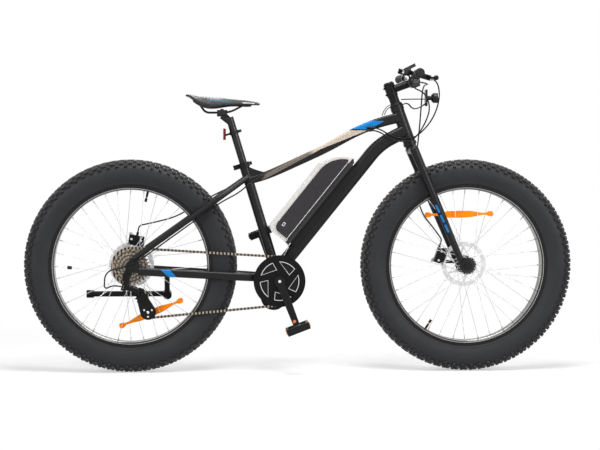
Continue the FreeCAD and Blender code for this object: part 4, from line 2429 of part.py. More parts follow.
def build_derailleur():
    outer_face = -s.rear_hub_span / 2 - s.dropout_thickness
    hanger = rear_axle + Vector(-s.hanger_setback, 0, -s.hanger_drop)
    neck = link_root + link_axis * (s.link_height / 2 + s.ear_thickness + s.knuckle_radius * 0.75)
    arm = side_plate(hanger, s.knuckle_radius, neck, s.knuckle_radius * 0.9, outer_face, s.knuckle_radius)
    bolt = cylinder(
        "hanger_bolt",
        s.crank_bolt_radius,
        s.knuckle_radius + s.crank_bolt_height,
        sideways(hanger + Vector(0, outer_face - s.knuckle_radius - s.crank_bolt_height, 0)),
    )
    body = fuse(
        "knuckle_solid",
        shaped("knuckle_arm", arm),
        bolt,
        *link_ears("fixed", link_root),
        ear_web("fixed_web", link_root, -1),
    )
    node("derailleur_knuckle", body)

    spread = s.link_spacing / 2
    hole = s.link_pin_radius + s.running_gap
    for name, side in (("outer", -1), ("inner", 1)):
        end = Vector(link_vector.dot(link_way), link_vector.y, 0)
        bar = hull_plate(Vector(), s.link_end_radius, end, s.link_end_radius, s.link_height)
        drills = [
            Part.makeCylinder(hole, s.link_height),
            Part.makeCylinder(hole + (0 if name == "outer" else s.clear_gap), s.link_height, end),
        ]
        link = shaped(f"{name}_link_bar", bar.cut(drills))
        link.Placement = link_frame(link_root) * Placement(Vector(0, side * spread, -s.link_height / 2), Rotation())
        node(f"derailleur_{name}_link", link)

    far_root = link_root + link_vector
    outer_plate = cage_half_gap() + s.cage_plate_thickness
    hub_left = -s.largest_cog_face - outer_plate - s.clear_gap
    hub_foot = Vector(guide_axis.x, hub_left - s.knuckle_width, guide_axis.z)
    hub = cylinder("cage_knuckle_hub", s.knuckle_radius, s.knuckle_width, sideways(hub_foot))
    moving = fuse("cage_knuckle_solid", hub, *link_ears("moving", far_root), ear_web("moving_web", far_root, 1))
    bore_start = Vector(guide_axis.x, hub_left - s.knuckle_width * 0.75, guide_axis.z)
    bore = cylinder("cage_pivot_bore", s.cage_hub_radius + s.running_gap, s.knuckle_width, sideways(bore_start))
    node("derailleur_cage_knuckle", cut("cage_knuckle_body", moving, bore))
    build_cage(hub_left)


def cage_half_gap():
    """Half the room between the cage's plates: half a chain link's width and a gap."""
    link = s.roller_half_width + 2 * s.link_plate_thickness + s.link_side_gap + s.pin_end
    return link + s.cage_gap


def build_cage(hub_left):
    middle = -s.largest_cog_face
    half = cage_half_gap()
    plate = s.cage_plate_thickness
    pieces = [
        shaped(
            "cage_outer_plate",
            side_plate(guide_axis, s.cage_guide_radius, tension_axis, s.cage_tension_radius, middle - half, plate),
        ),
        shaped(
            "cage_inner_plate",
            side_plate(
                guide_axis,
                s.cage_guide_radius * 0.7,
                tension_axis,
                s.cage_guide_radius * 0.8,
                middle + half + plate,
                plate,
            ),
        ),
    ]
    for name, axis in (("guide", guide_axis), ("tension", tension_axis)):
        foot = Vector(axis.x, middle - half - plate, axis.z)
        pieces.append(
            cylinder(f"cage_{name}_pin", s.jockey_bore - s.running_gap, 2 * (half + plate), sideways(foot))
        )
    depth = s.knuckle_width * 0.7 + s.clear_gap
    pivot_foot = Vector(guide_axis.x, hub_left - s.knuckle_width * 0.7, guide_axis.z)
    pieces.append(cylinder("cage_pivot", s.cage_hub_radius, depth, sideways(pivot_foot)))
    node("derailleur_cage", fuse("cage_body", *pieces))
    for name, axis in (("upper", guide_axis), ("lower", tension_axis)):
        disc = sprocket(JOCKEY_TEETH, float(s.jockey_thickness), float(s.jockey_bore), -gap_angle(axis, JOCKEY_TEETH))
        boss = Part.makeCylinder(s.jockey_hub_radius, s.jockey_hub_width, Vector(0, 0, -s.jockey_hub_width / 2))
        boss = boss.cut(Part.makeCylinder(s.jockey_bore, s.jockey_hub_width, Vector(0, 0, -s.jockey_hub_width / 2)))
        jockey = shaped(f"{name}_jockey", disc.fuse(boss))
        jockey.Placement = sideways(Vector(axis.x, middle, axis.z))
        node(f"{name}_jockey_wheel", jockey)


# Battery


def down_place(origin):
    """A placement in the bicycle's side view with X along the down tube and Y square above it."""
    return Placement(origin, Rotation(Vector(0, 1, 0), -s.down_tube_angle)) * upright(Vector())


def battery_outline(base, inset):
    """The battery's side outline, drawn in all round by an inset."""
    start = s.battery_start + inset
    end = s.battery_start + s.battery_length - inset
    floor = base + inset
    top = base + s.battery_height - inset
    heel = s.battery_heel
    toe = s.battery_toe
    return [
        (start, floor),
        (end - heel / 2, floor),
        (end, floor + heel / 2, -0.12),
        (end - toe, top),
        (start + heel, top, -0.2),
        (start, top - heel),
    ]


def build_battery():
    deck = s.down_tube_depth / 2 + s.cradle_wall
    place = down_place(down_foot)
    middle = s.cradle_start + s.cradle_length / 2
    height = s.cradle_wall + s.cradle_skirt
    channel = block(
        "cradle_channel",
        s.cradle_length,
        height,
        s.down_tube_width + 2 * s.cradle_wall,
        place * Placement(Vector(middle, deck - height / 2, 0), Rotation()),
    )
    rail = block(
        "cradle_rail",
        s.cradle_length,
        s.cradle_rail_height,
        s.cradle_rail_width,
        place * Placement(Vector(middle, deck + s.cradle_rail_height / 2, 0), Rotation()),
    )
    outline = rounded_rectangle(float(s.down_tube_width), float(s.down_tube_depth), float(s.down_tube_corner))
    tube = shaped("cradle_tube_cut", swept(down_tube_points(), outline))
    node("battery_cradle", fuse("cradle_body", cut("cradle_channel_cut", channel, tube), rail))

    floor = deck + s.clear_gap
    casing = padded("battery_casing", battery_outline(floor, 0), s.battery_width, place)
    groove = block(
        "battery_groove",
        s.battery_length * 2,
        2 * (s.cradle_rail_height + s.clear_gap),
        s.cradle_rail_width + 2 * s.clear_gap,
        place * Placement(Vector(middle, deck, 0), Rotation()),
    )
    body = cut("battery_body", casing, groove)
    panels = []
    for side, name in ((-1, "left"), (1, "right")):
        offset = Placement(Vector(0, 0, side * (s.battery_width + s.battery_panel_thickness) / 2), Rotation())
        panels.append(
            padded(
                f"battery_{name}_panel",
                battery_outline(floor, s.battery_panel_inset),
                s.battery_panel_thickness,
                place * offset,
            )
        )
    node("battery_case", body, *panels)


# Kickstand

stand_pivot = Vector(rear_axle.x + s.chainstay_reach - s.stand_setback, s.stand_pivot_spread, s.stand_pivot_height)
stand_axis = Vector(0, -math.cos(math.radians(s.stand_tilt)), -math.sin(math.radians(s.stand_tilt)))


def build_kickstand():
    stay_line = chainstay_points(1)
    share = (stand_pivot.x - stay_line[3].x) / (stay_line[4].x - stay_line[3].x)
    grip = stay_line[3] + (stay_line[4] - stay_line[3]) * share
    seat = grip - Vector(0, 0, s.chainstay_height / 2)
    saddle = block(
        "stand_saddle", s.stand_block_length, s.stand_block_width, s.stand_block_height, Placement(seat, Rotation())
    )
    stay = shaped("stand_stay_cut", swept(stay_line, stadium(float(s.chainstay_width), float(s.chainstay_height))))
    hugging = cut("stand_saddle_cut", saddle, stay)
    inner_face = stand_pivot - stand_axis * (-s.stand_eye_thickness / 2 - s.clear_gap)
    boss_foot = inner_face + stand_axis * s.stand_arm_thickness
    ahead = Vector(1, 0, 0)
    boss_place = facing(boss_foot, -stand_axis, ahead)
    boss = cylinder("stand_boss", s.stand_eye_radius, s.stand_arm_thickness, boss_place)
    foot = seat - Vector(0, 0, s.stand_block_height / 4)
    arm_end = boss_foot - stand_axis * (s.stand_arm_thickness / 2)
    arm = shaped("stand_arm", rod(foot, arm_end, float(s.stand_eye_radius) * 0.6))
    eye_room = cylinder(
        "stand_eye_room",
        s.stand_eye_radius * 2,
        s.stand_eye_thickness * 2,
        facing(inner_face, -stand_axis, ahead),
    )
    trimmed = cut("stand_arm_trimmed", arm, eye_room, stay)
    pin_length = s.stand_eye_thickness + 2 * s.clear_gap + s.stand_arm_thickness / 2
    pin_place = facing(inner_face + stand_axis * s.clear_gap, -stand_axis, ahead)
    pin = cylinder("stand_pin", s.stand_pin_radius, pin_length, pin_place)
    node("kickstand_bracket", fuse("stand_bracket_body", hugging, boss, trimmed, pin))

    eye = cylinder(
        "stand_eye",
        s.stand_eye_radius,
        s.stand_eye_thickness,
        facing(stand_pivot + stand_axis * (s.stand_eye_thickness / 2), -stand_axis, ahead),
    )
    back = Vector(-1, 0, 0)
    leg = cylinder("stand_leg_bar", s.stand_leg_radius, s.stand_leg_length, facing(stand_pivot, back))
    foot_piece = cylinder(
        "stand_foot",
        s.stand_foot_radius,
        s.stand_foot_length,
        facing(stand_pivot + back * s.stand_leg_length, back),
    )
    reach = stand_axis * (s.stand_eye_thickness + s.stand_leg_radius)
    bore = bar_tool("stand_eye_bore", s.stand_pin_radius + s.running_gap, stand_pivot - reach, stand_pivot + reach)
    flush = [
        cylinder(
            "stand_leg_room",
            s.stand_eye_radius * 1.5,
            s.stand_eye_thickness,
            facing(stand_pivot + stand_axis * (s.stand_eye_thickness * end), -stand_axis, ahead),
        )
        for end in (1.5, -0.5)
    ]
    solid = fuse("stand_leg_solid", cut("stand_leg_flush", leg, *flush), eye, foot_piece)
    node("kickstand_leg", cut("stand_leg_body", solid, bore))


# Cables


def barrel_tip(side):
    """The free end of a lever's barrel adjuster."""
    return lever_place(side).multVec(
        Vector(s.barrel_length * 0.62, -side * (s.perch_width / 4 + s.barrel_length * 0.78), 0)
    )


def barrel_way(side):
    foot = lever_place(side).multVec(Vector(-s.lever_boss_radius, -side * s.perch_width / 4, 0))
    return unit(barrel_tip(side) - foot)


def top_tube_side(share, side):
    """A point on the top tube's side wall, by its share of the way forward."""
    line = top_tube_line()
    place = share * (len(line) - 1)
    index = min(int(place), len(line) - 2)
    point = line[index] + (line[index + 1] - line[index]) * (place - index)
    width = s.top_tube_rear_width + (s.top_tube_front_width - s.top_tube_rear_width) * share
    return point + Vector(0, side * (width / 2 + s.ferrule_radius + s.clear_gap), 0)


def build_cables():
    # Two housings loop ahead of the head tube and pass its right side to ferrules on the top tube.
    starts = (
        [
            barrel_tip(-1) + barrel_way(-1) * s.clear_gap,
            barrel_tip(-1) + barrel_way(-1) * s.barrel_length,
        ],
        [
            on_bar(-1, s.shifter_inset + s.shifter_radius + s.clear_gap, -s.shifter_setback),
            on_bar(-1, s.shifter_inset + s.shifter_radius * 2, -s.shifter_setback),
        ],
    )
    loops = []
    pieces = []
    ferrule_side = top_tube_side(0.76, -1)
    for index, start in enumerate(starts):
        back = ferrule_side - Vector(0, 0, index * 2.4 * s.ferrule_radius)
        mouth = back + Vector(s.ferrule_length, 0, 0)
        waypoints = [
            on_head(s.head_high * rise, s.stem_reach * ahead, -s.bar_bend_span * right)
            for rise, ahead, right in LOOP_SHARES[index]
        ]
        lead_in = mouth + Vector(s.ferrule_length * 1.5, 0, 0)
        loops.append(pipe([*start, *waypoints, lead_in, mouth], float(s.cable_radius)))
        pieces.append(shaped("cable_ferrule", rod(back, mouth, float(s.ferrule_radius))))
    node("steering_cable_loops", *[shaped("cable_loop", loop) for loop in loops])
    node("frame_cables", *pieces, *rear_cables())
    node("front_brake_cable", shaped("front_brake_housing", front_cable()))


def front_cable():
    """The front brake's housing from the left lever down behind the left fork leg to its caliper."""
    tip = barrel_tip(1)
    way = barrel_way(1)
    leg = s.leg_spread + s.leg_top_radius + s.cable_radius
    tangent = polar(1, FRONT_CALIPER_ANGLE + 90)
    middle = s.front_rotor_face + s.rotor_thickness / 2
    stop = front_axle + polar(s.caliper_orbit + s.caliper_depth / 2 - s.caliper_stop_radius, FRONT_CALIPER_ANGLE)
    stop = stop + Vector(0, middle + s.caliper_outer / 2, 0)
    end = stop - tangent * (s.caliper_length / 2 + s.caliper_stop_length)
    return pipe(
        [
            tip + way * s.clear_gap,
            tip + way * s.barrel_length,
            on_head(stem_base, s.stem_reach * 1.45, s.bar_bend_span * 0.28),
            on_head(s.head_low, s.stem_reach * 0.55, leg),
            on_head(s.crown_rise * 0.8, -s.leg_top_radius, leg),
            on_head(s.crown_rise * 0.5, -s.leg_top_radius * 2.4, leg),
            end - tangent * s.caliper_length - Vector(s.caliper_depth, 0, 0),
            end - tangent * s.caliper_stop_length * 1.5,
            end,
        ],
        float(s.cable_radius),
    )


def rear_cables():
    """The shift housing along the right seatstay, the brake housing along the left one and the motor's lead."""
    cable = float(s.cable_radius)
    off = (s.seatstay_radius + s.cable_radius) * 1.2
    below = polar(1, -60) * off
    above = polar(1, 120) * off
    right = seatstay_points(-1)
    left = seatstay_points(1)
    exit_right = top_tube_side(0.1, -1) - Vector(0, s.cable_radius * 1.5, 0)
    exit_left = top_tube_side(0.1, 1)
    right_way = unit(Vector(-s.gusset_reach * 0.35, -s.cable_radius * 3, -s.gusset_height * 0.25))
    left_way = unit(Vector(-s.gusset_reach, 0, -s.gusset_height * 0.3))
    nut = s.rear_hub_span / 2 + s.dropout_thickness + s.axle_nut_height + s.cable_radius * 3
    loop = s.hub_flange_radius * 2
    web = link_root - link_way * (s.link_end_radius + s.ear_thickness * 1.95)
    shift = pipe(
        [
            exit_right,
            exit_right + right_way * s.gusset_reach * 0.4,
            right[1] + below * 1.7 + Vector(0, -s.cable_radius * 3, 0),
            right[2] + below,
            right[3] + below,
            right[4] + below + Vector(0, -s.seatstay_radius, 0),
            Vector(rear_axle.x - loop * 0.35, -nut, rear_axle.z),
            Vector(rear_axle.x - loop * 1.35, -nut, rear_axle.z - loop * 0.2),
            Vector(rear_axle.x - loop * 1.4, -nut, link_root.z - loop * 0.1),
            Vector(web.x - loop * 0.5, link_root.y, web.z + s.ear_thickness),
            Vector(web.x, link_root.y, web.z),
        ],
        cable,
    )
    outward = polar(1, REAR_CALIPER_ANGLE)
    middle = s.rear_rotor_face + s.rotor_thickness / 2
    end = rear_axle + outward * (s.caliper_orbit + s.caliper_depth / 2 + s.caliper_stop_length)
    end = end + Vector(0, middle + s.caliper_outer / 2, 0)
    over = end + outward * s.caliper_stop_length * 2
    brake = pipe(
        [
            exit_left,
            exit_left + left_way * s.gusset_reach * 0.3,
            on_seat(s.seatstay_join, 0, s.seat_tube_radius * 3) - Vector(0, 0, s.seatstay_radius),
            left[2] + above + Vector(0, s.seatstay_radius, 0),
            left[3] + above * 2,
            over + Vector(s.caliper_length * 0.9, 0, s.caliper_stop_length * 0.8),
            over,
            end,
        ],
        cable,
    )
    deck = s.down_tube_depth / 2 + s.cradle_wall / 2
    side = -s.seat_tube_radius - s.lead_radius * 4
    case_face = -s.bracket_width / 2
    lead = pipe(
        [
            on_down(s.cradle_start, deck - s.cradle_skirt / 2, case_face / 2),
            on_down(s.cradle_start - s.cradle_skirt, deck - s.cradle_skirt / 2, case_face / 2),
            on_down(s.gear_case_radius * 1.3, s.cradle_skirt, side),
            on_down(s.gear_case_radius * 0.6, s.cradle_skirt / 2, side),
            on_down(s.gear_case_radius * 0.5, 0, case_face + s.lead_radius * 0.6),
        ],
        float(s.lead_radius),
    )
    exits = [
        rod(exit_right - right_way * s.ferrule_length, exit_right, float(s.ferrule_radius)),
        rod(exit_left - left_way * s.ferrule_length, exit_left, float(s.ferrule_radius)),
    ]
    return [shaped("cable_run", run) for run in (shift, brake, lead, *exits)]


build_wheels()
build_head_tube()
build_top_tube()
build_down_tube()
build_seat_tube()
build_rear_triangle()
build_fork()
build_stem()
build_handlebar()
build_controls()
build_display()
build_headlight()
build_calipers()
build_seat_clamp()
build_seatpost()
build_saddle()
build_rear_reflector()
build_motor()
build_chain()
build_crankset()
build_pedals()
build_cassette()
build_derailleur()
build_battery()
build_kickstand()
build_cables()


# Checks and files


def check_and_write():
    """Stops on any failed object or bad shape, then writes one file for each sub-part."""
    doc.recompute()
    for thing in doc.Objects:
        if "Invalid" in thing.State or "Error" in thing.State:
            raise RuntimeError(f"{thing.Label} did not compute: {thing.State}")
    for label, thing in nodes.items():
        if thing.Shape.isNull() or not thing.Shape.isValid() or not thing.Shape.Solids:
            raise RuntimeError(f"{label} has no valid solid")
    os.makedirs("parts", exist_ok=True)
    for label, thing in nodes.items():
        thing.Shape.exportStep(f"parts/{label}.step")
        box = thing.Shape.BoundBox
        print(f"{label}: {len(thing.Shape.Solids)} solids, {thing.Shape.Volume:.0f} mm3,"
              f" {box.XLength:.1f} x {box.YLength:.1f} x {box.ZLength:.1f}")


check_and_write()
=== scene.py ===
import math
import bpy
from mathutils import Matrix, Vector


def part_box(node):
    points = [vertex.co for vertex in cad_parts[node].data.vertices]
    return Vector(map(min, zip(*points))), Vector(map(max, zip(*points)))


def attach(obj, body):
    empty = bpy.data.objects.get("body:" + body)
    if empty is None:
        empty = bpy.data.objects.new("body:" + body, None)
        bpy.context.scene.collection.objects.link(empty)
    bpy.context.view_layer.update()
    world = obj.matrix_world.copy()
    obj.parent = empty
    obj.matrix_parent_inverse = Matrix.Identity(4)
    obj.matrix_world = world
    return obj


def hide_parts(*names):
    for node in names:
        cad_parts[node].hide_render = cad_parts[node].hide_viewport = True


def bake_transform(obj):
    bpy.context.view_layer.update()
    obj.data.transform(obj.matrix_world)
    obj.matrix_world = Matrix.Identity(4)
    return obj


bl_info = {
    "name": "Fat Tyre Bicycle Looks",
    "version": (1, 0, 0),
    "blender": (4, 5, 0),
    "location": "View3D > Sidebar > Fat Bike",
    "description": "Dresses the fat-tyre bicycle: knobbed tyres, padded saddle, cable loops, paint and studio",
    "category": "Object",
}

import bmesh
import bpy
from bpy.props import FloatProperty, FloatVectorProperty, IntProperty, PointerProperty
from mathutils import Matrix, Vector

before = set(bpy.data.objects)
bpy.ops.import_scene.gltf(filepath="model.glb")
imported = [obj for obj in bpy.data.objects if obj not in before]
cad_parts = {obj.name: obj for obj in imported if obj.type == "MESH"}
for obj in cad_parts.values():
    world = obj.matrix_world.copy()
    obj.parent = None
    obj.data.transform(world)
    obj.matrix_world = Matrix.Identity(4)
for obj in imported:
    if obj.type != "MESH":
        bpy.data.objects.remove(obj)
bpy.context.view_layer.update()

FRONT_AXLE = Vector((0.594, 0, 0.375))
REAR_AXLE = Vector((-0.594, 0, 0.375))
CRANK_AXIS = Vector((-0.072, 0, 0.324))
BATTERY_FOOT = Vector((-0.08915, 0, 0.33779))
BATTERY_ABOVE = Vector((-0.77934, 0, 0.6266))

# Spacing of the chain's rollers and of the cogs' edges, and the count and sweep of the cogs' cut-outs.
CHAIN_PITCH = 0.0127
COG_STEP = 0.0122
CUT_OUT_COUNT = 22
CUT_OUT_SWEEP = 300

# Colours of small parts.
MARK_ORANGE = (0.75, 0.2, 0.08)
GLASS_BLACK = (0.02, 0.021, 0.024)
HOLDER_BLACK = (0.012, 0.012, 0.012)
LEAD_GREY = (0.55, 0.55, 0.53)
# Paler tread, partly dust and partly painted highlight on the knobs.
TREAD_DUST_AND_HIGHLIGHT = (0.085, 0.078, 0.071)
# Pale rim lines, partly the rim's bright edges and partly painted highlight.
RIM_EDGE_AND_HIGHLIGHT = (0.74, 0.71, 0.68)
LENS_CLEAR = (0.8, 0.82, 0.84)
SADDLE_GREY = (0.03, 0.029, 0.029)
SADDLE_TOP_GREY = (0.14, 0.14, 0.13)
SADDLE_TEAL = (0.015, 0.075, 0.115)
SADDLE_PALE = (0.5, 0.5, 0.49)
BRASS = (0.5, 0.36, 0.12)
SPOKE_STEEL = (0.62, 0.62, 0.63)
GUNMETAL = (0.035, 0.034, 0.035)

# The pale band of the top tube: it lies over two lines, each a point in side view and a slope, and ends at a height.
# Behind its full part it is a slim dim strip, a painted highlight along the tube.
BAND_FEET = ((-0.145, 0.668, 0.533), (0.0819, 0.789, 0.395))
BAND_START = -0.13
BAND_FULL_FROM = 0.045
BAND_HIGHLIGHT_WIDTH = 0.017
BAND_TOP = 0.8525

# Side-view outlines of the painted flashes and the saddle's marks.
TOP_TUBE_FLASH = (
    (0.1847, 0.8585), (0.2379, 0.8562), (0.2734, 0.8700), (0.302, 0.8856), (0.2521, 0.8872), (0.2167, 0.8765),
)
CHAINSTAY_FLASH = ((-0.487, 0.3655), (-0.4571, 0.3365), (-0.4287, 0.3365), (-0.4571, 0.3655))
SADDLE_FLASH = ((-0.325, 0.9585), (-0.255, 0.9495), (-0.238, 0.9525), (-0.29, 0.961), (-0.325, 0.9645))
SADDLE_STRIP = ((-0.2, 0.9475), (-0.157, 0.9455), (-0.157, 0.9485), (-0.2, 0.9515))
SADDLE_TOP = (-0.36, -0.28)

# Where one finish ends and another starts on a part: places, radii and distances from the middle plane.
ADJUSTER = Vector((0.452, 0.168, 1.029))
ADJUSTER_RADIUS = 0.012
CRANK_MARK = Vector((-0.0209, -0.1, 0.1844))
CRANK_MARK_RADIUS = 0.0058
CRANK_BOLT_RADIUS = 0.0052
TEETH_SIDE = -0.0795
TEETH_RADIUS = 0.079
BATTERY_PANEL_SIDE = 0.0402
BATTERY_CASING_FOOT = 0.0445
BATTERY_LINE = (0.0478, 0.0496)
BATTERY_PORT = ((0.158, 0.172), (0.085, 0.0935))
BATTERY_PORT_SLOT = ((0.1605, 0.1695), (0.0868, 0.0917))
TREAD_RADIUS = 0.366
SIDE_WALL_RADIUS = 0.335
RIM_LINES = ((0.2672, 0.2684), (0.2738, 0.2748))
RIM_EDGE_SIDE = 0.0262
ROTOR_RADIUS = 0.0335
PEDAL_LEAN = 21
PEDAL_RIGHT = Vector((-0.01108, 0, 0.16529))
PEDAL_LEFT = Vector((-0.13292, 0, 0.48271))
PEDAL_LENS_AHEAD = 0.0412
LAMP_LENS_FRONT = 0.4935
VALVE_THREAD = (0.2432, 0.2498)

# The spoke magnet lies further behind the origin than the first of these, and the rear lens behind the second.
MAGNET_BEHIND = 0.72
TAIL_LENS_FRONT = -0.264

FORK_LINE_TOP = Vector((0.478, 0, 0.59))
FORK_LINE_WAY = Vector((0.4226, 0, -0.9063))
FORK_LINE_ACROSS = Vector((-FORK_LINE_WAY.z, 0, FORK_LINE_WAY.x))
FORK_DASHES = (0, 0.038, 0.076)
FORK_DASH_LENGTH = 0.03
FORK_DASH_HALF_WIDTH = 0.0035
FORK_OUTER_SIDE = 0.064

BRAKE_LOOP = (
    (0.456, -0.1643, 1.0279), (0.4773, -0.1447, 1.0218), (0.4918, -0.0801, 0.9602), (0.47, -0.0501, 0.8899),
    (0.425, -0.0339, 0.8379), (0.3899, -0.03, 0.8219), (0.3299, -0.0279, 0.8281), (0.2796, -0.0236, 0.8622),
    (0.2556, -0.0236, 0.8622),
)
SHIFT_LOOP = (
    (0.3715, -0.1522, 1.0527), (0.3722, -0.1383, 1.0527), (0.3919, -0.105, 1.0002), (0.4399, -0.075, 0.9852),
    (0.462, -0.06, 0.9302), (0.44, -0.042, 0.8681), (0.4099, -0.0399, 0.826), (0.3848, -0.0381, 0.8124),
    (0.33, -0.0321, 0.816), (0.2796, -0.0236, 0.8522), (0.2556, -0.0236, 0.8522),
)
DISPLAY_WIRES = (
    ((0.349, -0.008, 0.9475), (0.322, -0.008, 0.9455), (0.301, -0.008, 0.925), (0.294, -0.008, 0.904)),
    ((0.343, 0.006, 0.9355), (0.324, 0.006, 0.937), (0.309, 0.006, 0.922), (0.304, 0.006, 0.907)),
)
DISPLAY_WIRE_SHARE = 0.6
LAMP_WIRE = ((0.3625, -0.004, 0.9622), (0.4, -0.005, 0.9638), (0.446, -0.003, 0.9635))
LAMP_WIRE_RADIUS = 0.002
BATTERY_LEAD = (
    (-0.0425, -0.03, 0.4535),
    (-0.036, -0.034, 0.443),
    (-0.046, -0.036, 0.43),
    (-0.054, -0.032, 0.412),
)
BATTERY_LEAD_RADIUS = 0.0016


def colour_property(name, description, default):
    return FloatVectorProperty(
        name=name, description=description, default=default, size=3, min=0, max=1, subtype="COLOR"
    )


def length_property(name, description, default):
    return FloatProperty(name=name, description=description, default=default, min=0, unit="LENGTH", precision=4)


def angle_property(name, description, degrees):
    return FloatProperty(name=name, description=description, default=math.radians(degrees), subtype="ANGLE")


def power_property(name, description, default):
    return FloatProperty(name=name, description=description, default=default, min=0, unit="POWER")


class StageSettings(bpy.types.PropertyGroup):
    """The camera's place and the studio's light."""

    distance: length_property("Camera distance", "From the camera to the middle of the bicycle", 7.0)
    view_width: length_property("View width", "Width of the view at the middle of the bicycle", 2.1276)
    target_ahead: FloatProperty(
        name="Target ahead", description="Aim ahead of the origin", default=0.004, unit="LENGTH"
    )
    target_height: length_property("Target height", "Height that the camera aims at", 0.5175)
    azimuth: angle_property("Azimuth", "Turn of the view", 2.9)
    elevation: angle_property("Elevation", "Camera above level", 2.3)
    key_power: power_property("Key light", "Power of the overhead softbox", 120)
    fill_power: power_property("Fill light", "Power of the side softboxes", 46)
    sky_strength: FloatProperty(name="Surround", description="Strength of the even surround light", default=0.15)
    floor_colour: colour_property("Floor", "Colour of the studio floor", (0.9, 0.9, 0.9))


class FinishSettings(bpy.types.PropertyGroup):
    """Colours of the paint, plastics and metals."""

    paint: colour_property("Frame paint", "Satin paint of the frame and fork", (0.007, 0.0063, 0.0072))
    accent: colour_property("Accent", "Blue of the painted flashes", (0.002, 0.155, 0.43))
    stripe: colour_property("Stripe", "Pale band along the top tube", (0.43, 0.36, 0.3))
    alloy: colour_property("Black alloy", "Anodised parts", (0.0065, 0.006, 0.0065))
    silver: colour_property("Bright alloy", "Polished edges and bolts", (0.72, 0.72, 0.73))
    plastic: colour_property("Plastic", "Moulded black parts", (0.0045, 0.004, 0.0045))
    battery: colour_property("Battery casing", "Silver surround of the battery", (0.62, 0.6, 0.58))
    panel: colour_property("Battery panel", "Side panels of the battery", (0.018, 0.016, 0.018))
    rubber: colour_property("Tyre rubber", "Tyres and grips", (0.017, 0.0175, 0.0195))
    amber: colour_property("Reflector", "Wheel and pedal reflectors", (1.0, 0.25, 0.0))
    red: colour_property("Rear reflector", "Lens under the saddle", (0.3, 0.006, 0.006))
    chain: colour_property("Chain steel", "Oiled chain and cogs", (0.26, 0.22, 0.18))


class TyreSettings(bpy.types.PropertyGroup):
    """Tread of the tyres."""

    pitches: IntProperty(name="Tread pitches", description="Repeats of the tread round the tyre", default=72, min=12)
    knob_height: length_property("Knob height", "Height of the tread blocks over the casing", 0.007)
    crown_radius: length_property("Casing radius", "Radius of the casing under the tread", 0.368)


class SaddleSettings(bpy.types.PropertyGroup):
    """Padding of the saddle."""

    voxel: length_property("Voxel", "Mesh size of the padding", 0.004)
    swell: length_property("Swell", "Furthest that the padding may swell", 0.003)
    fill: FloatProperty(name="Fill", description="How tightly the padding is filled", default=0.8, min=0, max=1)


class CableSettings(bpy.types.PropertyGroup):
    """Control cables ahead of the bars."""

    sheath_radius: length_property("Sheath radius", "Radius of the cable housings", 0.0025)


class Shade:
    """A number that varies over a surface, for writing shader maths as sums of values."""

    def __init__(self, nodes, socket):
        self.nodes = nodes
        self.socket = socket

    def sum_with(self, operation, *others):
        return self.nodes.number("ShaderNodeMath", {"operation": operation}, [self, *others])

    def __add__(self, other):
        return self.sum_with("ADD", other)

    __radd__ = __add__

    def __sub__(self, other):
        return self.sum_with("SUBTRACT", other)

    def __rsub__(self, other):
        return self.nodes.number("ShaderNodeMath", {"operation": "SUBTRACT"}, [other, self])

    def __mul__(self, other):
        return self.sum_with("MULTIPLY", other)

    __rmul__ = __mul__

    def __abs__(self):
        return self.sum_with("ABSOLUTE")

    def least(self, other):
        return self.sum_with("MINIMUM", other)

    def most(self, other):
        return self.sum_with("MAXIMUM", other)

    def root(self):
        return self.sum_with("SQRT")

    def wave(self):
        return self.sum_with("SINE")

    def over(self, edge, blur=0.0004):
        """1 where the number is past an edge and 0 before it, with a soft step."""
        settings = {"interpolation_type": "SMOOTHSTEP"}
        ends = {"Value": self, "From Min": edge - blur, "From Max": edge + blur}
        return self.nodes.number("ShaderNodeMapRange", settings, ends)


NOISE_ROUGHNESS = 0.55


class Nodes:
    """A shader tree that is built up node by node."""

    def __init__(self, tree):
        self.tree = tree

    def add(self, kind, settings, inputs):
        """A node of a kind, with its settings made first and then its sockets set or linked."""
        node = self.tree.nodes.new(kind)
        for name, value in settings.items():
            setattr(node, name, value)
        named = inputs.items() if isinstance(inputs, dict) else enumerate(inputs)
        for name, value in named:
            self.feed(node.inputs[name], value)
        return node

    def feed(self, socket, value):
        value = value.socket if isinstance(value, Shade) else value
        if isinstance(value, bpy.types.NodeSocket):
            self.tree.links.new(value, socket)
        elif socket.type == "RGBA":
            socket.default_value = (*value, 1)
        else:
            socket.default_value = value

    def number(self, kind, settings, inputs):
        return Shade(self, self.add(kind, settings, inputs).outputs[0])


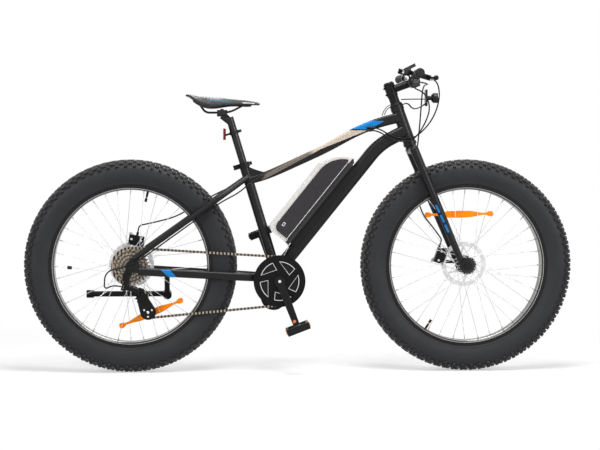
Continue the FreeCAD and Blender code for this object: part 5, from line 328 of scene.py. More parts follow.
class Finish(Nodes):
    """A material built from nodes, with numbers taken from the object's own coordinates."""

    def __init__(self, name, specular=0.2, **sockets):
        self.material = bpy.data.materials.new(name)
        self.material.use_nodes = True
        super().__init__(self.material.node_tree)
        self.shader = self.tree.nodes["Principled BSDF"]
        self.shader.inputs["Specular IOR Level"].default_value = specular
        for socket, value in sockets.items():
            self.shader.inputs[socket.replace("_", " ")].default_value = value
        self.places = self.add("ShaderNodeTexCoord", {}, {}).outputs["Object"]
        self.axes = None

    def place(self):
        """The three coordinates of a point on the surface."""
        if self.axes is None:
            split = self.add("ShaderNodeSeparateXYZ", {}, [self.places])
            self.axes = [Shade(self, socket) for socket in split.outputs]
        return self.axes

    def noise(self, scale, detail=3):
        inputs = {"Vector": self.places, "Scale": scale, "Detail": detail, "Roughness": NOISE_ROUGHNESS}
        return self.number("ShaderNodeTexNoise", {}, inputs)

    def cells(self, scale):
        inputs = {"Vector": self.places, "Scale": scale}
        return self.number("ShaderNodeTexVoronoi", {"feature": "DISTANCE_TO_EDGE"}, inputs)

    def tint(self, mask, below, above):
        """One colour fading into another with a mask."""
        return self.add("ShaderNodeMix", {"data_type": "RGBA"}, {0: mask, 6: below, 7: above}).outputs[2]

    def colour(self, value):
        self.feed(self.shader.inputs["Base Color"], value)

    def colours(self, mask, below, above):
        """One colour where a mask is 0 and another where it is 1."""
        self.colour(self.tint(mask, below, above))

    def rough(self, base, spread, scale):
        """A roughness that varies a little over the surface."""
        self.feed(self.shader.inputs["Roughness"], base + spread * self.noise(scale))

    def metallic(self, value):
        self.feed(self.shader.inputs["Metallic"], value)

    def bump(self, height, distance):
        node = self.add("ShaderNodeBump", {}, {"Height": height, "Distance": distance, "Strength": 1.0})
        self.feed(self.shader.inputs["Normal"], node.outputs["Normal"])

    def grain(self, scale, depth, detail=2):
        """Fine relief all over the surface."""
        self.bump(self.noise(scale, detail), depth)

    def inside(self, corners):
        """1 inside a side-view outline whose corners go round counter-clockwise, and 0 outside it."""
        x, _, z = self.place()
        nearest = None
        for (ax, az), (bx, bz) in zip(corners, corners[1:] + corners[:1]):
            length = math.hypot(bx - ax, bz - az)
            inward = (z - az) * ((bx - ax) / length) - (x - ax) * ((bz - az) / length)
            nearest = inward if nearest is None else nearest.least(inward)
        return nearest.over(0)

    def wheel_radius(self):
        """Distance from the axle of whichever wheel the surface belongs to."""
        x, _, z = self.place()
        return distance(abs(x) - FRONT_AXLE.x, z - FRONT_AXLE.z)

    def radius_about(self, centre):
        x, _, z = self.place()
        return distance(x - centre.x, z - centre.z)


def distance(*parts):
    """The length of a line, from its parts along the axes."""
    return sum(part * part for part in parts).root()


def within(number, low, high):
    """1 where a number lies between two edges, and 0 elsewhere."""
    return number.over(low) * (1 - number.over(high))


def scaled(colour, share):
    """A colour made darker or lighter, up to full brightness."""
    return [min(1, value * share) for value in colour]


def speckled(finish, colour, spread, scale):
    """A colour that varies a little over the surface."""
    return finish.tint(finish.noise(scale), scaled(colour, 1 - spread), scaled(colour, 1 + spread))


def paint_finish(name, settings):
    """Satin paint with fine orange peel."""
    finish = Finish(name, Coat_Weight=0.04, Coat_Roughness=0.15)
    base = speckled(finish, settings.paint, 0.12, 14)
    finish.rough(0.34, 0.1, 60)
    finish.grain(500, 0.00001)
    return finish, base


def plain_paint(settings):
    finish, base = paint_finish("frame paint", settings)
    finish.colour(base)
    return finish.material


def top_tube_paint(settings):
    """Paint with a blue flash near the head and a pale band before it; behind the band's full part, a slim dimmer
    strip is a painted highlight along the tube.
    """
    finish, base = paint_finish("top tube paint", settings)
    x, _, z = finish.place()
    rising, easing = [(x - ahead) * slope + level for ahead, level, slope in BAND_FEET]
    height = z - rising.least(easing)
    full = x.over(BAND_FULL_FROM, 0.012)
    # The slim dim strip behind the full band is a painted highlight along the tube.
    slim_highlight = 1 - height.over(BAND_HIGHLIGHT_WIDTH, 0.004)
    band = height.over(0) * slim_highlight.most(full) * (1 - z.over(BAND_TOP)) * x.over(BAND_START, 0.01)
    band_and_highlight = finish.tint(full, scaled(settings.stripe, 0.3), settings.stripe)
    painted = finish.tint(band, base, band_and_highlight)
    finish.colours(finish.inside(TOP_TUBE_FLASH), painted, settings.accent)
    return finish.material


def chainstay_paint(settings):
    """Paint with one slanted blue flash near the rear axle, on the right stay."""
    finish, base = paint_finish("chainstay paint", settings)
    _, y, _ = finish.place()
    flash = finish.inside(CHAINSTAY_FLASH) * (-1 * y).over(0)
    finish.colours(flash, base, settings.accent)
    return finish.material


def fork_paint(settings):
    """Paint with a slim dashed blue line down the outer side of each leg."""
    finish, base = paint_finish("fork paint", settings)
    outer = abs(finish.place()[1]).over(FORK_OUTER_SIDE)
    dashes = None
    for lead in FORK_DASHES:
        tail = lead + FORK_DASH_LENGTH
        half = FORK_DASH_HALF_WIDTH
        outline = ((lead, -half), (tail, -half), (tail, half), (lead, half))
        corners = [FORK_LINE_TOP + FORK_LINE_WAY * along + FORK_LINE_ACROSS * side for along, side in outline]
        dash = finish.inside([(corner.x, corner.z) for corner in corners]) * outer
        dashes = dash if dashes is None else dashes.most(dash)
    finish.colours(dashes, base, settings.accent)
    return finish.material


def even_finish(name, colour, speckle, rough, grain=None, **sockets):
    """One colour with a little speckle, uneven gloss and fine relief."""
    finish = Finish(name, **sockets)
    finish.colour(speckled(finish, colour, *speckle))
    finish.rough(*rough)
    if grain:
        finish.grain(*grain)
    return finish.material


def alloy_finish(name, colour, rough, metal=0.9):
    """Polished alloy with fine turning marks."""
    return even_finish(name, colour, (0.15, 30), (rough, 0.12, 120), (1400, 0.00002), specular=0.5, Metallic=metal)


def steel_finish(name, colour, rough):
    return even_finish(name, colour, (0.3, 90), (rough, 0.2, 160), (1500, 0.00003), specular=0.5, Metallic=1.0)


def plastic_finish(settings):
    return even_finish("moulded plastic", settings.plastic, (0.15, 40), (0.42, 0.15, 150), (700, 0.00006))


def sheath_finish(settings):
    return even_finish("cable sheath", settings.plastic, (0.15, 60), (0.36, 0.1, 200))


def display_finish():
    """Gloss black glass."""
    looks = {"specular": 0.3, "Coat_Weight": 0.2, "Coat_Roughness": 0.06}
    return even_finish("display gloss", GLASS_BLACK, (0.1, 20), (0.16, 0.08, 60), **looks)


def lead_finish():
    """Pale rubber of the battery's lead."""
    return even_finish("pale lead", LEAD_GREY, (0.25, 22), (0.6, 0.2, 70), (700, 0.00025, 3))


def dark_alloy(name, settings):
    """Black anodised alloy."""
    finish = Finish(name)
    finish.rough(0.3, 0.14, 90)
    return finish, speckled(finish, settings.alloy, 0.2, 30)


def black_alloy(settings):
    finish, base = dark_alloy("black alloy", settings)
    finish.colour(base)
    finish.metallic(0.3)
    finish.grain(1200, 0.00002)
    return finish.material


def housing_finish(settings):
    """Black lever housings with bright barrel adjusters."""
    finish, base = dark_alloy("housing alloy", settings)
    x, y, z = finish.place()
    adjuster = 1 - distance(x - ADJUSTER.x, abs(y) - ADJUSTER.y, z - ADJUSTER.z).over(ADJUSTER_RADIUS)
    finish.colours(adjuster, base, settings.silver)
    finish.metallic(adjuster)
    return finish.material


def crank_alloy(settings):
    """Black alloy with a bright spindle bolt and a small orange mark near the right pedal."""
    finish, base = dark_alloy("crank alloy", settings)
    _, y, _ = finish.place()
    dot = (1 - finish.radius_about(CRANK_MARK).over(CRANK_MARK_RADIUS)) * (-1 * y).over(-CRANK_MARK.y)
    bolt = 1 - finish.radius_about(CRANK_AXIS).over(CRANK_BOLT_RADIUS)
    finish.colours(bolt, finish.tint(dot, base, MARK_ORANGE), settings.silver)
    finish.metallic(0.2 + 0.7 * bolt)
    return finish.material


def cover_alloy(settings):
    """A black cover disc and chainring, with bare steel on the teeth alone."""
    finish = Finish("cover alloy", 0.12)
    _, y, _ = finish.place()
    teeth = y.over(TEETH_SIDE) * finish.radius_about(CRANK_AXIS).over(TEETH_RADIUS)
    finish.colours(teeth, speckled(finish, settings.plastic, 0.2, 30), settings.chain)
    finish.metallic(teeth)
    finish.rough(0.32, 0.12, 90)
    finish.grain(1200, 0.00002)
    return finish.material


def battery_finish(settings):
    """A silver casing with gloss black side panels, a bright line along their foot and a small port."""
    finish = Finish("battery casing", 0.35)
    x, y, z = finish.place()
    along = (x - BATTERY_FOOT.x) * BATTERY_ABOVE.z - (z - BATTERY_FOOT.z) * BATTERY_ABOVE.x
    above = (x - BATTERY_FOOT.x) * BATTERY_ABOVE.x + (z - BATTERY_FOOT.z) * BATTERY_ABOVE.z
    panel = abs(y).over(BATTERY_PANEL_SIDE, 0.0001)
    painted_shade = panel.most(1 - above.over(BATTERY_CASING_FOOT))
    line = panel * within(above, *BATTERY_LINE)
    port, slot = [within(along, *ends) * within(above, *sides) for ends, sides in (BATTERY_PORT, BATTERY_PORT_SLOT)]
    trim = line.most(panel * port * (1 - slot))
    silver = speckled(finish, settings.battery, 0.08, 25)
    black = speckled(finish, settings.panel, 0.2, 30)
    finish.colours(trim, finish.tint(painted_shade, silver, black), settings.silver)
    finish.rough(0.3 - 0.14 * panel, 0.06, 80)
    finish.metallic(0.45 * (1 - painted_shade) + 0.6 * trim)
    finish.grain(500, 0.000006)
    return finish.material


def tyre_finish(settings):
    """Rubber with moulded rings on the side walls, and a paler tread that is partly dust and partly painted
    highlight.
    """
    finish = Finish("tyre rubber", 0.22)
    radius = finish.wheel_radius()
    tread = radius.over(TREAD_RADIUS, 0.006)
    base = speckled(finish, settings.rubber, 0.25, 16)
    # The tread is painted paler: partly dust, partly painted highlight on the knobs.
    finish.colours(tread * (0.4 + 0.6 * finish.noise(60)), base, TREAD_DUST_AND_HIGHLIGHT)
    finish.rough(0.42, 0.2, 45)
    rings = (radius * 1600).wave()
    finish.bump(0.25 * rings * (1 - radius.over(SIDE_WALL_RADIUS, 0.004)) + finish.noise(500, 3), 0.0003)
    return finish.material


def rim_finish(settings):
    """Black alloy with fine turned rings and two pale lines at its inner edge, partly the rim's bright edges and
    partly painted highlight of its inner wall.
    """
    finish = Finish("rim alloy", 0.25)
    radius = finish.wheel_radius()
    rings = (radius * 9000).wave()
    inner, outer = [within(radius, *ends) for ends in RIM_LINES]
    # Two pale lines, partly the rim's bright edges and partly painted highlight of its inner wall.
    lines = abs(finish.place()[1]).over(RIM_EDGE_SIDE) * inner.most(outer)
    finish.colours(lines, speckled(finish, settings.alloy, 0.2, 25), RIM_EDGE_AND_HIGHLIGHT)
    finish.metallic(0.1 + 0.8 * lines)
    finish.rough(0.22 + 0.04 * rings, 0.08, 60)
    finish.bump(rings, 0.00001)
    return finish.material


def hub_finish(settings):
    """Black hub shell with a bright brake rotor outside it."""
    finish = Finish("hub and rotor", 0.5)
    radius = finish.wheel_radius()
    rotor = radius.over(ROTOR_RADIUS, 0.0003)
    rings = (radius * 7000).wave()
    worn = speckled(finish, settings.silver, 0.2, 40)
    finish.colours(rotor, speckled(finish, settings.alloy, 0.2, 25), worn)
    finish.metallic(0.1 + 0.85 * rotor)
    finish.rough(0.3 + 0.06 * rings, 0.1, 80)
    return finish.material


def chain_finish(settings):
    """Oily steel, bright on the rollers' beads, with painted shade between them."""
    finish = Finish("chain steel", 0.5, Metallic=0.9)
    x, _, _ = finish.place()
    beads = (x * (math.tau / CHAIN_PITCH)).wave()
    # Dark between the beads is painted shade between the rollers.
    finish.colours(beads.over(0.1, 0.6), scaled(settings.chain, 0.08), scaled(settings.chain, 1.5))
    finish.rough(0.3, 0.2, 160)
    return finish.material


def cassette_finish(settings):
    """Steel cogs, with painted shade in the steps between them and in their cut-outs."""
    finish = Finish("cassette steel", 0.5, Metallic=0.9)
    x, _, z = finish.place()
    radius = finish.radius_about(REAR_AXLE)
    turn = finish.number("ShaderNodeMath", {"operation": "ARCTAN2"}, [z - REAR_AXLE.z, x - REAR_AXLE.x])
    steps = (radius * (math.tau / COG_STEP)).wave()
    arms = (turn * CUT_OUT_COUNT + radius * CUT_OUT_SWEEP).wave()
    # Painted shade: dark steps between the cogs and dark cut-outs in them.
    painted_shade = steps.over(0.35, 0.3) * 0.8
    painted_shade = painted_shade.most(arms.over(0.1, 0.3) * finish.noise(170).over(0.46, 0.08))
    finish.colours(painted_shade, scaled(settings.chain, 1.6), scaled(settings.chain, 0.06))
    finish.rough(0.28, 0.2, 160)
    return finish.material


def reflector_finish(name, colour, holder):
    """Clear coloured plastic over moulded corner cubes, and black where holder, a sum of x, says so."""
    finish = Finish(name, 0.15)
    grid = finish.cells(420)
    lens = finish.tint(grid.over(0.08, 0.05), scaled(colour, 0.75), colour)
    black = holder(finish.place()[0])
    finish.colours(black, lens, HOLDER_BLACK)
    finish.rough(0.3, 0.1, 90)
    finish.bump(grid * (1 - black), 0.0004)
    return finish.material


def pedal_finish(settings):
    """Black moulded pedal with amber lenses at its two ends."""
    finish = Finish("pedal plastic")
    x, y, z = finish.place()
    way = way_at(PEDAL_LEAN)
    right = (-1 * y).over(0)
    ahead_right, ahead_left = [(x - axis.x) * way.x + (z - axis.z) * way.z for axis in (PEDAL_RIGHT, PEDAL_LEFT)]
    ahead = ahead_right * right + ahead_left * (1 - right)
    lens = abs(ahead).over(PEDAL_LENS_AHEAD, 0.0001)
    finish.colours(lens, speckled(finish, settings.plastic, 0.2, 40), settings.amber)
    finish.rough(0.45 - 0.2 * lens, 0.1, 150)
    finish.grain(600, 0.00008)
    return finish.material


def grip_finish(settings):
    """Soft rubber with raised ribs round the grip."""
    finish = Finish("grip rubber", 0.15)
    _, y, _ = finish.place()
    ribs = (y * 1300).wave()
    finish.colour(speckled(finish, settings.rubber, 0.2, 40))
    finish.rough(0.66, 0.15, 80)
    finish.bump(ribs.over(0.1, 0.5), 0.0009)
    return finish.material


def lamp_finish(settings):
    """Black bracket and lamp body with a clear lens at the front."""
    finish = Finish("lamp plastic", 0.25, Coat_Weight=0.05, Coat_Roughness=0.1)
    x, _, _ = finish.place()
    lens = x.over(LAMP_LENS_FRONT, 0.0003)
    finish.colours(lens, speckled(finish, settings.plastic, 0.15, 40), LENS_CLEAR)
    finish.rough(0.36 - 0.26 * lens, 0.1, 120)
    finish.bump(finish.cells(260) * lens, 0.0005)
    return finish.material


def saddle_finish(settings):
    """Grained dark cover with a slim teal flash along each flank, a pale top and a pale strip by the nose."""
    finish = Finish("saddle cover", 0.25)
    x, y, _ = finish.place()
    base = speckled(finish, SADDLE_GREY, 0.2, 40)
    flash = finish.inside(SADDLE_FLASH) * abs(y).over(0.02, 0.006)
    top = within(x, *SADDLE_TOP) * (1 - abs(y).over(0.04, 0.02))
    tinted = finish.tint(flash, finish.tint(0.7 * top, base, SADDLE_TOP_GREY), SADDLE_TEAL)
    finish.colours(finish.inside(SADDLE_STRIP) * 0.85, tinted, SADDLE_PALE)
    finish.rough(0.42, 0.15, 90)
    finish.bump(finish.cells(900), 0.0003)
    return finish.material


def dress(node, material):
    """Puts a finish on a node of the frame."""
    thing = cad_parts[node]
    if not thing.material_slots:
        thing.data.materials.append(material)
    for slot in thing.material_slots:
        slot.link = "OBJECT"
        slot.material = material


def coat(data, material, smooth=True):
    """Gives a mesh one finish, and smooth shading where asked."""
    data.materials.clear()
    data.materials.append(material)
    if smooth:
        data.polygons.foreach_set("use_smooth", [True] * len(data.polygons))


def put_in_scene(name, data):
    thing = bpy.data.objects.new(name, data)
    bpy.context.scene.collection.objects.link(thing)
    return thing


def new_piece(name, mesh, material, smooth=True):
    """A finished mesh as an object of the scene, with its place in its mesh."""
    data = bpy.data.meshes.new(name)
    mesh.to_mesh(data)
    mesh.free()
    coat(data, material, smooth)
    return put_in_scene(name, data)


class FATBIKE_OT_finishes(bpy.types.Operator):
    """Gives every shown part of the frame its finish"""

    bl_idname = "fatbike.finishes"
    bl_label = "Finishes"

    def execute(self, context):
        settings = context.scene.fatbike_finish
        amber = reflector_finish("amber reflector", settings.amber, lambda x: (-1 * x).over(MAGNET_BEHIND))
        red = reflector_finish("red reflector", settings.red, lambda x: x.over(TAIL_LENS_FRONT, 0.0001))
        groups = {
            plain_paint(settings): (
                "head_tube", "down_tube", "seat_tube", "bottom_bracket_shell", "seatstays", "rear_dropouts",
            ),
            top_tube_paint(settings): ("top_tube",),
            chainstay_paint(settings): ("chainstays",),
            fork_paint(settings): ("fork",),
            black_alloy(settings): (
                "seat_clamp", "seat_clamp_lever", "rear_caliper", "front_caliper", "motor_housing", "stem",
                "handlebar", "kickstand_bracket", "kickstand_leg", "brake_lever_right", "brake_lever_left",
                "derailleur_knuckle", "derailleur_outer_link", "derailleur_inner_link", "derailleur_cage_knuckle",
                "derailleur_cage",
            ),
            alloy_finish("bright alloy", settings.silver, 0.2, 1.0): ("front_caliper_arm", "rear_caliper_arm"),
            crank_alloy(settings): ("crank_arms",),
            cover_alloy(settings): ("chainring",),
            plastic_finish(settings): (
                "battery_cradle", "shift_lever", "upper_jockey_wheel", "lower_jockey_wheel", "saddle_shell",
            ),
            display_finish(): ("display",),
            lamp_finish(settings): ("headlight",),
            battery_finish(settings): ("battery_case",),
            grip_finish(settings): ("grips",),
            rim_finish(settings): ("front_rim", "rear_rim"),
            hub_finish(settings): ("front_hub", "rear_hub"),
            steel_finish("spoke steel", SPOKE_STEEL, 0.22): ("front_spokes", "rear_spokes"),
            chain_finish(settings): ("chain",),
            cassette_finish(settings): ("cassette",),
            steel_finish("gunmetal", GUNMETAL, 0.24): ("seatpost",),
            housing_finish(settings): ("control_housings",),
            pedal_finish(settings): ("pedal_right", "pedal_left"),
            amber: ("front_wheel_reflector", "rear_wheel_reflector"),
            red: ("rear_reflector",),
            sheath_finish(settings): ("frame_cables", "front_brake_cable"),
        }
        for material, names in groups.items():
            for name in names:
                dress(name, material)
        return {"FINISHED"}


# Half of the casing's section from its bead to its crown: height from the crown and distance from the middle.
CASING_SHARES = (
    (-0.0815, 0.0368), (-0.0805, 0.0395), (-0.077, 0.0418), (-0.0735, 0.0415), (-0.070, 0.0432),
    (-0.056, 0.0486), (-0.040, 0.0507), (-0.024, 0.0490), (-0.011, 0.0425), (-0.0035, 0.031),
    (-0.0007, 0.017), (0.0, 0.0),
)
CASING_WALL = 0.004
CASING_INNER_SHARE = 0.9
CASING_STEPS = 144
RING_WELD = 1e-6


def spin_ring(mesh, corners, axle, steps):
    """Spins a closed section round an axle."""
    section = [mesh.verts.new(corner) for corner in corners]
    edges = [mesh.edges.new(pair) for pair in zip(section, section[1:] + section[:1])]
    bmesh.ops.spin(
        mesh, geom=section + edges, cent=axle, axis=(0, 1, 0), angle=math.tau, steps=steps, use_merge=True
    )
    bmesh.ops.remove_doubles(mesh, verts=mesh.verts, dist=RING_WELD)
    bmesh.ops.recalc_face_normals(mesh, faces=mesh.faces)


def casing_ring(mesh, axle, crown):
    """Spins the casing's section, a horseshoe with a wall, round an axle."""
    outer = [*CASING_SHARES, *((drop, -side) for drop, side in reversed(CASING_SHARES[:-1]))]
    inner = [(drop - CASING_WALL, side * CASING_INNER_SHARE) for drop, side in reversed(outer)]
    spin_ring(mesh, [(axle.x, side, axle.z + crown + drop) for drop, side in outer + inner], axle, CASING_STEPS)


# Tread blocks of one pitch: share of the pitch, side, drop below the crown, lean, length and width.
KNOB_ROWS = (
    (0.0, 0.0085, 0.0, 3, 0.0125, 0.0125),
    (0.5, 0.0245, 0.0014, 14, 0.0135, 0.0145),
    (0.0, 0.0385, 0.0072, 40, 0.0125, 0.0125),
    (0.5, 0.0455, 0.0145, 62, 0.0105, 0.0115),
)
KNOB_STAGGER = 0.25
KNOB_SINK = 0.0012
KNOB_TAPER = 0.84
KNOB_BEVEL = 0.0007


def bevel_edges(mesh, edges, offset, segments):
    look = {"profile": 0.5, "affect": "EDGES", "material": -1, "offset_type": "OFFSET"}
    bmesh.ops.bevel(mesh, geom=edges, offset=offset, segments=segments, **look)


def tread_pitch(mesh, axle, settings):
    """One pitch of tread blocks on each side of the crown."""
    pitch = math.tau / settings.pitches
    made = []
    for share, side, drop, lean, length, width in KNOB_ROWS:
        for sign in (-1, 1):
            stagger = share + (KNOB_STAGGER if sign > 0 else 0)
            turn = Matrix.Rotation(stagger * pitch, 4, "Y")
            seat = Vector((0, sign * side, settings.crown_radius - drop))
            tilt = Matrix.Rotation(-sign * math.radians(lean), 4, "X")
            lift = Matrix.Translation((0, 0, (settings.knob_height - KNOB_SINK) / 2))
            size = Matrix.Diagonal((length, width, settings.knob_height + KNOB_SINK, 1))
            place = Matrix.Translation(axle) @ turn @ Matrix.Translation(seat) @ tilt @ lift @ size
            block = bmesh.ops.create_cube(mesh, size=1, matrix=place)["verts"]
            outward = (place @ Vector((0, 0, 1, 0))).normalized().to_3d()
            centre = place @ Vector((0, 0, 0.5))
            top = [corner for corner in block if (corner.co - centre).dot(outward) > -0.001]
            bmesh.ops.scale(mesh, vec=[KNOB_TAPER] * 3, space=Matrix.Translation(-centre), verts=top)
            made.extend(block)
    edges = list({edge for corner in made for edge in corner.link_edges})
    bevel_edges(mesh, edges, KNOB_BEVEL, 1)


class FATBIKE_OT_tyres(bpy.types.Operator):
    """Makes the two knobbed tyres over the plain ones"""

    bl_idname = "fatbike.tyres"
    bl_label = "Tyres"

    def execute(self, context):
        settings = context.scene.fatbike_tyre
        material = tyre_finish(context.scene.fatbike_finish)
        for end, axle in (("front", FRONT_AXLE), ("rear", REAR_AXLE)):
            mesh = bmesh.new()
            casing_ring(mesh, axle, settings.crown_radius)
            tread = bmesh.new()
            tread_pitch(tread, axle, settings)
            steps = settings.pitches - 1
            turn = math.tau * steps / settings.pitches
            pitch = tread.verts[:] + tread.edges[:] + tread.faces[:]
            bmesh.ops.spin(
                tread, geom=pitch, cent=axle, axis=(0, 1, 0), angle=turn, steps=steps, use_duplicate=True
            )
            knobs = new_piece(f"{end}_tread", tread, material, smooth=False)
            casing = new_piece(f"{end}_casing", mesh, material)
            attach(casing, f"{end}_wheel")
            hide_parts(f"{end}_tyre")
            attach(knobs, f"{end}_wheel")
        return {"FINISHED"}


UNDERSIDE_NORMAL = -0.2
PADDING_PRESSURE = 4
PADDING_FRAMES = 20


def swell_padding(piece, voxel, swell):
    """Puffs a closed form out a little under its cover, as foam does, with its underside held."""
    scene = bpy.context.scene
    remesh = piece.modifiers.new("Voxels", "REMESH")
    remesh.mode = "VOXEL"
    remesh.voxel_size = voxel
    settle(piece)
    held = piece.vertex_groups.new(name="held")
    starts = [vertex.co.copy() for vertex in piece.data.vertices]
    under = [vertex.index for vertex in piece.data.vertices if vertex.normal.z < UNDERSIDE_NORMAL]
    held.add(under, 1.0, "REPLACE")
    cloth = piece.modifiers.new("Cover", "CLOTH")
    cloth.settings.use_pressure = True
    cloth.settings.uniform_pressure_force = PADDING_PRESSURE
    cloth.settings.effector_weights.gravity = 0
    cloth.settings.vertex_group_mass = "held"
    for step in range(1, PADDING_FRAMES + 1):
        scene.frame_set(step)
    settle(piece)
    scene.frame_set(1)
    for vertex, start in zip(piece.data.vertices, starts):
        shift = vertex.co - start
        if shift.length > swell:
            vertex.co = start + shift.normalized() * swell


def settle(piece):
    """Applies what the piece's modifiers make of it."""
    graph = bpy.context.evaluated_depsgraph_get()
    data = bpy.data.meshes.new_from_object(piece.evaluated_get(graph))
    piece.modifiers.clear()
    old = piece.data
    piece.data = data
    bpy.data.meshes.remove(old)


class FATBIKE_OT_saddle(bpy.types.Operator):
    """Makes the saddle's padded cover"""

    bl_idname = "fatbike.saddle"
    bl_label = "Saddle"

    def execute(self, context):
        settings = context.scene.fatbike_saddle
        mesh = bmesh.new()
        mesh.from_mesh(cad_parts["saddle_cover"].data)
        bmesh.ops.remove_doubles(mesh, verts=mesh.verts, dist=1e-5)
        cover = saddle_finish(context.scene.fatbike_finish)
        piece = new_piece("saddle_padding", mesh, cover)
        swell_padding(piece, settings.voxel, settings.swell)
        coat(piece.data, cover)
        rounding = piece.modifiers.new("Rounding", "SUBSURF")
        rounding.levels = 1
        rounding.render_levels = 1
        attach(piece, "seat")
        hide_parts("saddle_cover")
        return {"FINISHED"}


def cable_tube(name, points, radius, material):
    """A round cable along a smooth line through its route's points."""
    curve = bpy.data.curves.new(name, "CURVE")
    curve.dimensions = "3D"
    curve.bevel_depth = radius
    curve.bevel_resolution = 3
    curve.use_fill_caps = True
    line = curve.splines.new("NURBS")
    line.points.add(len(points) - 1)
    for control, point in zip(line.points, points):
        control.co = (*point, 1)
    line.order_u = 3
    line.use_endpoint_u = True
    line.resolution_u = 8
    holder = put_in_scene(name, curve)
    data = bpy.data.meshes.new_from_object(holder.evaluated_get(bpy.context.evaluated_depsgraph_get()))
    bpy.data.objects.remove(holder)
    bpy.data.curves.remove(curve)
    coat(data, material)
    return put_in_scene(name, data)


class FATBIKE_OT_cables(bpy.types.Operator):
    """Makes the two cable loops and the display's wires"""

    bl_idname = "fatbike.cables"
    bl_label = "Cables"

    def execute(self, context):
        radius = context.scene.fatbike_cable.sheath_radius
        material = sheath_finish(context.scene.fatbike_finish)
        for name, points in (("brake_loop", BRAKE_LOOP), ("shift_loop", SHIFT_LOOP)):
            piece = cable_tube(name, points, radius, material)
            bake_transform(piece)
            if name == "brake_loop":
                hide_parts("steering_cable_loops")
        for index, points in enumerate(DISPLAY_WIRES):
            piece = cable_tube(f"display_wire_{index}", points, radius * DISPLAY_WIRE_SHARE, material)
            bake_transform(piece)
        return {"FINISHED"}


def way_at(degrees):
    """A side-view direction, turned up from straight ahead."""
    angle = math.radians(degrees)
    return Vector((math.cos(angle), 0, math.sin(angle)))


# Each window of the cover: a round outer side and one inner corner, in degrees from its first angle.
WINDOW_COUNT = 5
WINDOW_FIRST = 110
WINDOW_SPAN = 53
WINDOW_STEPS = 10
WINDOW_RADIUS = 0.069
WINDOW_CORNER_RADIUS = 0.04
WINDOW_CORNER_LAG = 7
WINDOW_FACE = Vector((0, -0.0854, 0))
WINDOW_EDGE_WIDTH = 0.0024
WINDOW_EDGE_HEIGHT = 0.0007
BACKING_SECTION = ((0.021, -0.0811), (0.076, -0.0811), (0.076, -0.0803), (0.021, -0.0803))
BACKING_STEPS = 64


def window_edges(mesh):
    """A raised edge round each window of the chainring's cover."""
    for index in range(WINDOW_COUNT):
        lead = WINDOW_FIRST + index * 360 / WINDOW_COUNT
        outline = [(WINDOW_RADIUS, lead + WINDOW_SPAN * step / WINDOW_STEPS) for step in range(WINDOW_STEPS + 1)]
        outline.append((WINDOW_CORNER_RADIUS, lead - WINDOW_CORNER_LAG))
        places = [CRANK_AXIS + way_at(angle) * radius + WINDOW_FACE for radius, angle in outline]
        face = mesh.faces.new([mesh.verts.new(place) for place in places])
        face.normal_update()
        bmesh.ops.inset_individual(mesh, faces=[face], thickness=WINDOW_EDGE_WIDTH)
        bmesh.ops.delete(mesh, geom=[face], context="FACES")
    sides = bmesh.ops.extrude_face_region(mesh, geom=mesh.faces[:])["geom"]
    raised = [part for part in sides if isinstance(part, bmesh.types.BMVert)]
    bmesh.ops.translate(mesh, vec=(0, -WINDOW_EDGE_HEIGHT, 0), verts=raised)
    bmesh.ops.recalc_face_normals(mesh, faces=mesh.faces)


def backing_disc(mesh):
    """A thin dark disc behind the cover's windows, with a bore for the spindle."""
    section = [CRANK_AXIS + Vector((radius, side, 0)) for radius, side in BACKING_SECTION]
    spin_ring(mesh, section, CRANK_AXIS, BACKING_STEPS)


class FATBIKE_OT_trim(bpy.types.Operator):
    """Makes the chainring cover's bright window edges and dark backing, the battery's lead and the lamp's wire"""

    bl_idname = "fatbike.trim"
    bl_label = "Trim"

    def execute(self, context):
        settings = context.scene.fatbike_finish
        mesh = bmesh.new()
        window_edges(mesh)
        # The edges' bright alloy is partly the cover's trim and partly painted highlight on the windows' chamfers.
        bright = alloy_finish("window edge alloy", settings.silver, 0.2)
        edges = new_piece("cover_window_edges", mesh, bright, smooth=False)
        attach(edges, "crank")
        mesh = bmesh.new()
        backing_disc(mesh)
        backing = new_piece("cover_backing", mesh, plastic_finish(settings), smooth=False)
        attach(backing, "crank")
        lead = cable_tube("battery_lead", BATTERY_LEAD, BATTERY_LEAD_RADIUS, lead_finish())
        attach(lead, "frame")
        wire = cable_tube("lamp_wire", LAMP_WIRE, LAMP_WIRE_RADIUS, sheath_finish(settings))
        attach(wire, "steering")
        return {"FINISHED"}


def middle_of(node):
    """The middle of a node's box."""
    low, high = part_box(node)
    return (Vector(low) + Vector(high)) / 2


def round_bar(mesh, radius, length, place):
    """A round bar about the z axis of a place."""
    return bmesh.ops.create_cone(
        mesh, cap_ends=True, segments=16, radius1=radius, radius2=radius, depth=length, matrix=place
    )["verts"]


BOLT_SINK = 0.0003
BOLT_CHAMFER_SHARE = 0.25


def bolt_head(mesh, place, radius, height):
    """A chamfered bolt head that stands out to the right of a place."""
    turn = Matrix.Translation(place) @ Matrix.Rotation(math.radians(90), 4, "X")
    lift = Matrix.Translation((0, 0, height / 2 - BOLT_SINK))
    made = round_bar(mesh, radius, height, turn @ lift)
    edges = {edge for corner in made for edge in corner.link_edges}
    rim = [edge for edge in edges if all(corner.co.y < place.y - height / 2 for corner in edge.verts)]
    bevel_edges(mesh, rim, radius * BOLT_CHAMFER_SHARE, 2)


# Each wheel's valve: its axle and its turn round it; the valve's cap, thread and stem: two distances and a radius.
VALVES = {"front": (FRONT_AXLE, 238), "rear": (REAR_AXLE, 77)}
VALVE_PARTS = ((0.2312, 0.243, 0.0046), (0.243, 0.25, 0.0034), (0.25, 0.269, 0.0041))


